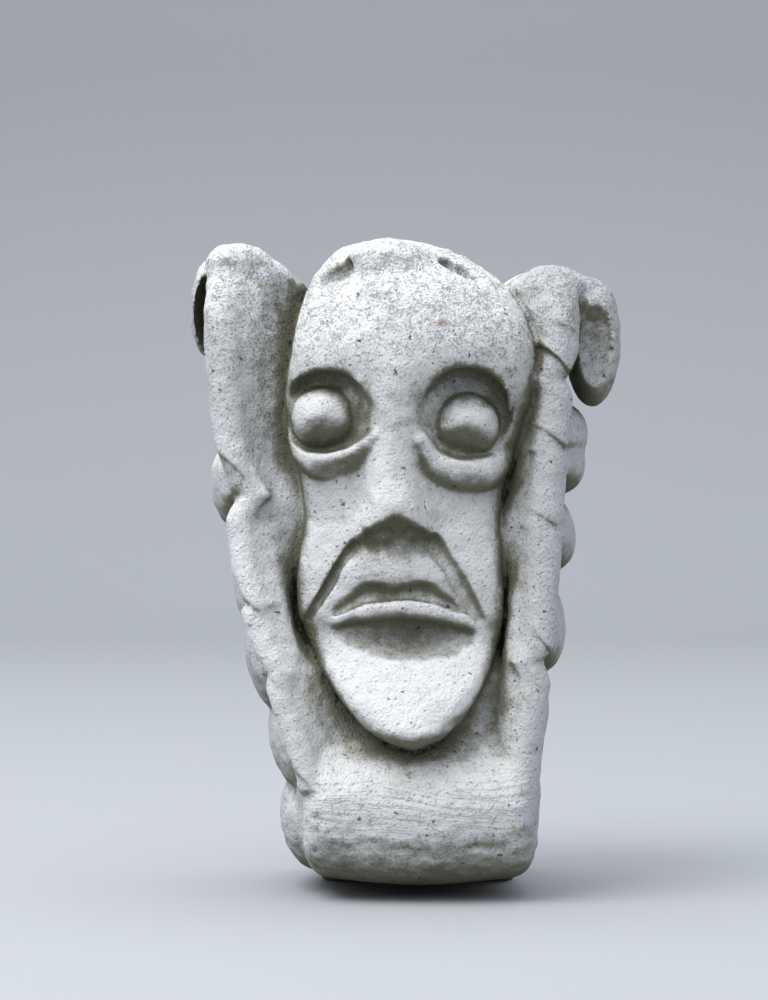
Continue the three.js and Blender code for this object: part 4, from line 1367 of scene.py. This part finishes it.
def specks_group() -> bpy.types.NodeTree:
    """Small dark specks: cells whose middles are near, kept where a cloudy noise is high.

    Place, Size (specks to a metre), Cover (0 none to 1 all over) and Reach (size of a speck as a
    share of its cell) go in; a mask comes out.
    """
    inputs = {"Place": None, "Size": 300.0, "Cover": 0.5, "Reach": 0.3}
    nodes, given, made = new_group("stone_specks", inputs, {"Mask": "NodeSocketFloat"})
    warp = nodes.add(Noise.CLOUDS.value, {"Vector": given["Place"], "Scale": 420.0, "Detail": 2.0})
    bent = nodes.add("ShaderNodeVectorMath", {0: warp.outputs["Color"], 1: (0.004, 0.004, 0.004)},
                     operation="MULTIPLY")
    moved = {0: given["Place"], 1: bent.outputs[0]}
    place = nodes.add("ShaderNodeVectorMath", moved, operation="ADD")
    cells = nodes.add(Noise.CELLS.value, {"Vector": place.outputs[0], "Scale": given["Size"]})
    lone = nodes.add("ShaderNodeSeparateColor", {"Color": cells.outputs["Color"]}).outputs[0]
    kept = nodes.math("LESS_THAN", lone, given["Cover"])
    near = nodes.math("SUBTRACT", given["Reach"], cells.outputs["Distance"])
    spot = nodes.math("MULTIPLY", near, 8.0, clamp=True)
    nodes.tree.links.new(nodes.math("MULTIPLY", spot, kept, clamp=True), made["Mask"])
    return nodes.tree


def brush_group() -> bpy.types.NodeTree:
    """Ridges left by a brush: cloudy noise stretched along X, so many ridges to a metre up Z.

    Place and Ridges go in; a height from 0 to 1 comes out.
    """
    nodes, given, made = new_group(
        "brush_ridges", {"Place": None, "Ridges": 420.0}, {"Height": "NodeSocketFloat"})
    sway = nodes.add(Noise.CLOUDS.value, {"Vector": given["Place"], "Scale": 14.0, "Detail": 1.0})
    slant = nodes.add("ShaderNodeVectorMath", {0: sway.outputs["Color"], 1: (0.0, 0.0, 0.02)},
                      operation="MULTIPLY")
    moved = {0: given["Place"], 1: slant.outputs[0]}
    place = nodes.add("ShaderNodeVectorMath", moved, operation="ADD")
    drawn = nodes.add("ShaderNodeMapping", {"Vector": place.outputs[0], "Scale": (0.045, 0.3, 1.0)})
    ridges = nodes.add(Noise.CLOUDS.value, {"Vector": drawn.outputs[0], "Scale": given["Ridges"],
                                            "Detail": 2.0, "Roughness": 0.5})
    nodes.tree.links.new(ridges.outputs["Fac"], made["Height"])
    return nodes.tree


def grain_group() -> bpy.types.NodeTree:
    """The fine tooth of stone under paint: two noises and small round pits.

    Place and Size (grains to a metre) go in; a height from 0 to 1 comes out.
    """
    nodes, given, made = new_group(
        "stone_grain", {"Place": None, "Size": 700.0}, {"Height": "NodeSocketFloat"})
    fine = nodes.add(Noise.CLOUDS.value, {"Vector": given["Place"], "Scale": given["Size"],
                                          "Detail": 4.0, "Roughness": 0.6})
    wide_scale = nodes.math("MULTIPLY", given["Size"], 0.22)
    wide = nodes.add(Noise.CLOUDS.value, {"Vector": given["Place"], "Scale": wide_scale,
                                          "Detail": 3.0})
    pit_scale = nodes.math("MULTIPLY", given["Size"], 0.45)
    pits = nodes.add(Noise.CELLS.value, {"Vector": given["Place"], "Scale": pit_scale})
    pit = nodes.ramp(pits.outputs["Distance"], Fade(0.0, 0.28))
    both = nodes.plus(nodes.math("MULTIPLY", fine.outputs["Fac"], 0.5), wide.outputs["Fac"], 0.5)
    nodes.tree.links.new(nodes.math("MULTIPLY", both, pit), made["Height"])
    return nodes.tree


@dataclass(frozen=True)
class Ground:
    """What the layers of paint, dirt and painted shade have in common: places, in metres, and three
    noises.
    """

    place: Socket
    x: Socket
    y: Socket
    z: Socket
    patches: Socket
    mottle: Socket
    tooth: Socket


@dataclass(frozen=True)
class PaintedStone:
    """Matt white masonry paint on stone: sooty on top, greyed by dust and painted shade on its sides
    and on the right leaf, olive with grime and painted shade under ledges and in hollows and
    creases.

    Each named value on the mesh adds to the grime and painted shade by its weight.
    """

    paint: Colour = (0.83, 0.83, 0.82, 1.0)
    old_paint: Colour = (0.60, 0.60, 0.56, 1.0)
    # The grey of dust and painted shade on faces that don't look up and on the right leaf.
    dusty_shaded_paint: Colour = (0.53, 0.54, 0.545, 1.0)
    soot: Colour = (0.13, 0.127, 0.125, 1.0)
    # The olive of grime and painted shade, and a darker one for the deepest shade.
    grime_and_shade: Colour = (0.135, 0.13, 0.08, 1.0)
    deep_grime_and_shade: Colour = (0.09, 0.088, 0.05, 1.0)
    # Near black, for pits and for painted shade and moss packed in the tightest corners.
    black_moss_and_shade: Colour = (0.018, 0.018, 0.012, 1.0)
    rubbed_grime: Colour = (0.30, 0.29, 0.20, 1.0)
    lichen: Colour = (0.40, 0.27, 0.06, 1.0)
    rust: Colour = (0.20, 0.115, 0.06, 1.0)
    patches: Cloud = Cloud(38.0, 4.0, 0.6)
    mottle: Cloud = Cloud(175.0, 5.0, 0.62)
    tooth: Cloud = Cloud(800.0, 5.0, 0.7)
    # Painted shade, partly grime: undersides, recesses, sheltered places and creases darken by these
    # weights.
    shade_and_damp: tuple[tuple[str, float], ...] = (
        ("underside", 1.3), ("recess", 1.05), ("shelter", 0.18), ("crease", 0.9),
    )
    # Painted shade under the lower lip and beside the nose.
    shade_under_lip: Spot = Spot((0.003, -0.118, -0.0285), (0.034, 0.03, 0.0145), 0.7, 0.42)
    shade_beside_nose: Spot = Spot((-0.017, -0.118, 0.066), (0.0085, 0.03, 0.022), 0.7, 0.4)
    rusty: Spot = Spot((0.0183, -0.122, 0.110), (0.0062, 0.01, 0.0028), 0.5, 0.75)
    worn: Fade = Fade(0.4, 0.78, 0.6)
    # Painted light: faces far out in front are spared the grey of dust and painted shade.
    out_in_front: Fade = Fade(-0.102, -0.118, 0.7)
    facing_up: Fade = Fade(0.5, 0.05, 0.9)
    right_leaf: Fade = Fade(0.045, 0.06, 0.95)
    dust: Fade = Fade(0.42, 0.66, 0.12)
    grimed_and_shaded: Fade = Fade(0.2, 1.25, 0.93)
    deeply_grimed_and_shaded: Fade = Fade(1.1, 2.1, 0.8)
    rubbed: Fade = Fade(0.52, 0.66, 0.5)
    packed_moss_and_shade: Fade = Fade(0.62, 0.85, 0.85)
    leaf_soot: Fade = Fade(0.045, 0.062, 0.5)
    roll_soot: Fade = Fade(-0.085, -0.1, 0.45)
    cap_soot: Fade = Fade(0.055, 0.115)
    sooty: Fade = Fade(0.63, 0.8, 0.5)
    lichen_patches: Fade = Fade(0.45, 0.6, 0.7)
    roll_strokes: Fade = Fade(-0.085, -0.1, 0.9)
    roughness: float = 0.8
    grime_roughness: float = 0.15
    bump_height: float = 0.0016

    def build(self) -> bpy.types.Material:
        """Mixes the paint, its stains, its painted shade and its specks, and the height of brush
        marks and grain.
        """
        material = bpy.data.materials.new("painted_stone_finish")
        material.use_nodes = True
        nodes = Nodes(material.node_tree)
        place = nodes.add("ShaderNodeTexCoord").outputs["Object"]
        axes = nodes.add("ShaderNodeSeparateXYZ", {"Vector": place}).outputs
        clouds = [nodes.noise(place, cloud) for cloud in (self.patches, self.mottle, self.tooth)]
        ground = Ground(place, axes["X"], axes["Y"], axes["Z"], *clouds)
        colour = self._paint(nodes, ground)
        grime_and_shade, colour = self._grime_and_shade(nodes, ground, colour)
        sooty, colour = self._soot(nodes, ground, colour)
        surface = nodes.add("ShaderNodeBsdfPrincipled", {
            "Base Color": self._growth(nodes, ground, colour),
            "Roughness": nodes.plus(self.roughness, grime_and_shade, self.grime_roughness),
            "Normal": self._relief(nodes, ground, sooty),
            "Specular IOR Level": 0.3,
        })
        nodes.add("ShaderNodeOutputMaterial", {"Surface": surface.outputs[0]})
        return material

    def _paint(self, nodes: Nodes, ground: Ground) -> Socket:
        """White paint, dull and thin in patches, greyed by dust and painted shade on faces that
        don't look up and on the right leaf, less so far out in front, with dust in the tooth of it.
        """
        worn = nodes.swayed(ground.patches, ground.mottle, 0.6)
        colour = nodes.mix(nodes.ramp(worn, self.worn), self.paint, self.old_paint)
        # Painted shade, partly dust: faces that look less upward, unless far out in front, and the
        # right leaf, away from the key light, go grey.
        set_back = nodes.math("SUBTRACT", 1.0, nodes.ramp(ground.y, self.out_in_front))
        dust_and_shade = nodes.math("MULTIPLY", nodes.ramp(nodes.mark("skyward"), self.facing_up), set_back)
        dust_and_shade = nodes.math("MAXIMUM", dust_and_shade, nodes.ramp(ground.x, self.right_leaf))
        colour = nodes.mix(dust_and_shade, colour, self.dusty_shaded_paint)
        return nodes.mix(nodes.ramp(ground.tooth, self.dust), colour, self.soot)

    def _grime_and_shade(self, nodes: Nodes, ground: Ground, colour: Socket) -> tuple[Socket, Socket]:
        """Olive grime and painted shade under ledges, in hollows and creases, under the lip and
        beside the nose, and near-black painted shade and moss where a crease lies in a recess.
        """
        shade_and_damp = 0.0
        for name, weight in self.shade_and_damp:
            shade_and_damp = nodes.plus(shade_and_damp, nodes.mark(name), weight)
        for spot in (self.shade_under_lip, self.shade_beside_nose):
            shade_and_damp = nodes.plus(shade_and_damp, nodes.near(ground.place, spot, ground.patches), spot.weight)
        shade_and_damp = nodes.swayed(nodes.swayed(shade_and_damp, ground.mottle, 0.9), ground.tooth, 0.7)
        grime_and_shade = nodes.ramp(shade_and_damp, self.grimed_and_shaded)
        colour = nodes.mix(grime_and_shade, colour, self.grime_and_shade)
        colour = nodes.mix(nodes.ramp(shade_and_damp, self.deeply_grimed_and_shaded), colour, self.deep_grime_and_shade)
        rubbed = nodes.math("MULTIPLY", nodes.ramp(ground.tooth, self.rubbed), grime_and_shade)
        colour = nodes.mix(rubbed, colour, self.rubbed_grime)
        # Near-black painted shade, partly moss, where a crease lies in a recess.
        corner = nodes.math("MULTIPLY", nodes.mark("crease"), nodes.mark("recess"))
        packed_moss_and_shade = nodes.ramp(nodes.swayed(corner, ground.mottle, 1.4), self.packed_moss_and_shade)
        return grime_and_shade, nodes.mix(packed_moss_and_shade, colour, self.black_moss_and_shade)

    def _soot(self, nodes: Nodes, ground: Ground, colour: Socket) -> tuple[Socket, Socket]:
        """Grey flecks of soot: many on the cap, fewer on the leaves and the roll, few elsewhere."""
        aside = nodes.ramp(nodes.math("ABSOLUTE", ground.x), self.leaf_soot)
        low = nodes.ramp(ground.z, self.roll_soot)
        crust = nodes.math("MAXIMUM", aside, low)
        crust = nodes.math("MAXIMUM", nodes.ramp(ground.z, self.cap_soot), crust)
        crust = nodes.swayed(crust, ground.patches, 0.9)
        fleck = nodes.swayed(nodes.plus(ground.tooth, crust, 0.13), ground.mottle, 0.45)
        sooty = nodes.ramp(fleck, self.sooty)
        return sooty, nodes.mix(sooty, colour, self.soot)

    def _growth(self, nodes: Nodes, ground: Ground, colour: Socket) -> Socket:
        """Black pits, sparse yellow lichen, and one rusty stain on the brow."""
        pits = nodes.group("stone_specks", ground.place, Size=300.0, Cover=0.05, Reach=0.3)
        colour = nodes.mix(nodes.math("MULTIPLY", pits, 0.8), colour, self.black_moss_and_shade)
        spots = nodes.group("stone_specks", ground.place, Size=210.0, Cover=0.022, Reach=0.3)
        spots = nodes.math("MULTIPLY", spots, nodes.ramp(ground.patches, self.lichen_patches))
        colour = nodes.mix(spots, colour, self.lichen)
        stain = nodes.near(ground.place, self.rusty, ground.patches)
        return nodes.mix(nodes.math("MULTIPLY", stain, self.rusty.weight), colour, self.rust)

    def _relief(self, nodes: Nodes, ground: Ground, sooty: Socket) -> Socket:
        """The height of the grain everywhere and of the brush marks, bold on the roll."""
        brush = nodes.group("brush_ridges", ground.place)
        grain = nodes.group("stone_grain", ground.place)
        boldness = nodes.math("ADD", nodes.ramp(ground.z, self.roll_strokes), 0.15)
        rise = nodes.math("ADD", grain, nodes.math("MULTIPLY", brush, boldness))
        rise = nodes.plus(rise, ground.mottle, 0.9)
        rise = nodes.plus(rise, sooty, -0.3)
        inputs = {"Height": rise, "Strength": 1.0, "Distance": self.bump_height}
        return nodes.add("ShaderNodeBump", inputs).outputs[0]


@dataclass(frozen=True)
class SawnStone:
    """Bare pale stone on the faces sawn off flat, with the marks of the saw."""

    light: Colour = (0.50, 0.45, 0.36, 1.0)
    dark: Colour = (0.36, 0.31, 0.235, 1.0)
    soot: Colour = (0.16, 0.13, 0.10, 1.0)
    clouds: Cloud = Cloud(45.0, 5.0, 0.6)
    darkened: Fade = Fade(0.35, 0.68)
    saw_height: float = 0.6
    roughness: float = 0.86

    def build(self) -> bpy.types.Material:
        """Mixes two tones of stone with specks, and the height of saw marks and grain."""
        material = bpy.data.materials.new("sawn_stone_finish")
        material.use_nodes = True
        nodes = Nodes(material.node_tree)
        place = nodes.add("ShaderNodeTexCoord").outputs["Object"]
        darkened = nodes.ramp(nodes.noise(place, self.clouds), self.darkened)
        colour = nodes.mix(darkened, self.light, self.dark)
        specks = nodes.group("stone_specks", place, Size=380.0, Cover=0.12)
        colour = nodes.mix(nodes.math("MULTIPLY", specks, 0.5), colour, self.soot)
        saw = nodes.group("brush_ridges", place, Ridges=520.0)
        height = nodes.plus(nodes.group("stone_grain", place), saw, self.saw_height)
        bump = nodes.add("ShaderNodeBump", {"Height": height, "Strength": 0.7, "Distance": 0.0009})
        surface = nodes.add("ShaderNodeBsdfPrincipled", {
            "Base Color": colour, "Roughness": self.roughness, "Normal": bump.outputs[0],
        })
        nodes.add("ShaderNodeOutputMaterial", {"Surface": surface.outputs[0]})
        return material


# The studio


@dataclass(frozen=True)
class Lamp:
    """A square soft light that faces a point: its place, aim and size in metres, and its watts."""

    name: str
    place: Triple
    aim: Triple
    size: float
    power: float

    def build(self) -> None:
        """Adds the light to the scene."""
        data = bpy.data.lights.new(self.name, "AREA")
        data.size, data.energy = self.size, self.power
        lamp = bpy.data.objects.new(self.name, data)
        lamp.location = self.place
        way = Vector(self.aim) - Vector(self.place)
        lamp.rotation_euler = way.to_track_quat("-Z", "Y").to_euler()
        bpy.context.scene.collection.objects.link(lamp)


@dataclass
class Studio:
    """A pale floor that sweeps up behind into a backdrop, soft lights and the camera."""

    floor_z: float = -0.1505
    half_width: float = 6.0
    front_y: float = -4.0
    back_y: float = 3.2
    sweep_radius: float = 0.9
    height: float = 5.0
    bend_points: int = 24
    floor_colour: Colour = (0.42, 0.43, 0.45, 1.0)
    floor_roughness: float = 0.9
    lamps: tuple[Lamp, ...] = (
        Lamp("soft_key", (-0.85, -0.75, 1.5), (0.0, -0.1, 0.0), 1.3, 28.0),
        Lamp("backdrop_light", (0.0, 1.0, 2.6), (0.0, 2.6, 0.2), 2.0, 25.0),
    )
    sky_colour: Colour = (0.88, 0.93, 1.0, 1.0)
    sky: float = 1.45
    horizon: float = 0.12
    camera_place: Triple = (-0.0072, -1.37, 0.03105)
    lens: float = 100.0
    sensor: float = 36.0

    def sweep(self) -> bpy.types.Object:
        """A flat floor, a quarter circle and an upright wall, carried sideways along X."""
        angle = np.linspace(0.0, math.pi / 2.0, self.bend_points)
        bend = np.stack([self.back_y - self.sweep_radius + self.sweep_radius * np.sin(angle),
                         self.floor_z + self.sweep_radius * (1.0 - np.cos(angle))], axis=1)
        profile = np.vstack([[self.front_y, self.floor_z], bend, [self.back_y, self.height]])
        across = np.array([-self.half_width, self.half_width])
        count = len(profile)
        rows = np.concatenate([np.column_stack([np.full(count, x), profile]) for x in across])
        i = np.arange(count - 1)
        faces = np.stack([i, i + count, i + count + 1, i + 1], axis=1)
        mesh = bpy.data.meshes.new("studio_sweep")
        mesh.from_pydata(rows.tolist(), [], faces.tolist())
        mesh.shade_smooth()
        material = bpy.data.materials.new("pale_backdrop")
        material.use_nodes = True
        shader = material.node_tree.nodes["Principled BSDF"]
        shader.inputs["Base Color"].default_value = self.floor_colour
        shader.inputs["Roughness"].default_value = self.floor_roughness
        mesh.materials.append(material)
        piece = bpy.data.objects.new("studio_sweep", mesh)
        bpy.context.scene.collection.objects.link(piece)
        return piece

    def build(self) -> bpy.types.Object:
        """Sets the lights, the world, the camera and the view.

        Returns:
            The sweep, which isn't part of the object.
        """
        for lamp in self.lamps:
            lamp.build()
        world = bpy.data.worlds.new("studio_air")
        world.use_nodes = True
        nodes = Nodes(world.node_tree)
        way = nodes.add("ShaderNodeTexCoord").outputs["Generated"]
        up = nodes.add("ShaderNodeSeparateXYZ", {"Vector": way}).outputs["Z"]
        overhead = nodes.ramp(up, Fade(-0.05, 0.95, self.sky - self.horizon))
        glow = nodes.math("ADD", overhead, self.horizon)
        air = nodes.add("ShaderNodeBackground", {"Color": self.sky_colour, "Strength": glow})
        nodes.add("ShaderNodeOutputWorld", {"Surface": air.outputs[0]})
        bpy.context.scene.world = world
        data = bpy.data.cameras.new("photo_camera")
        data.lens, data.sensor_width = self.lens, self.sensor
        camera = bpy.data.objects.new("photo_camera", data)
        camera.location = self.camera_place
        camera.rotation_euler = (math.pi / 2.0, 0.0, 0.0)
        bpy.context.scene.collection.objects.link(camera)
        bpy.context.scene.camera = camera
        bpy.context.scene.view_settings.view_transform = "Standard"
        return self.sweep()


def main() -> None:
    """Builds the carving and the studio."""
    logging.basicConfig(level=logging.INFO, format="%(name)s: %(message)s")
    Studio().build()
    for make in (specks_group, brush_group, grain_group):
        make()
    carving = CarvedMask().build(PaintedStone(), SawnStone())
    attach(carving, "root")
    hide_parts("grotesque_mask")
    LOG.info("%s: %d triangles", carving.name, len(carving.data.polygons))


if __name__ == "__main__":
    main()
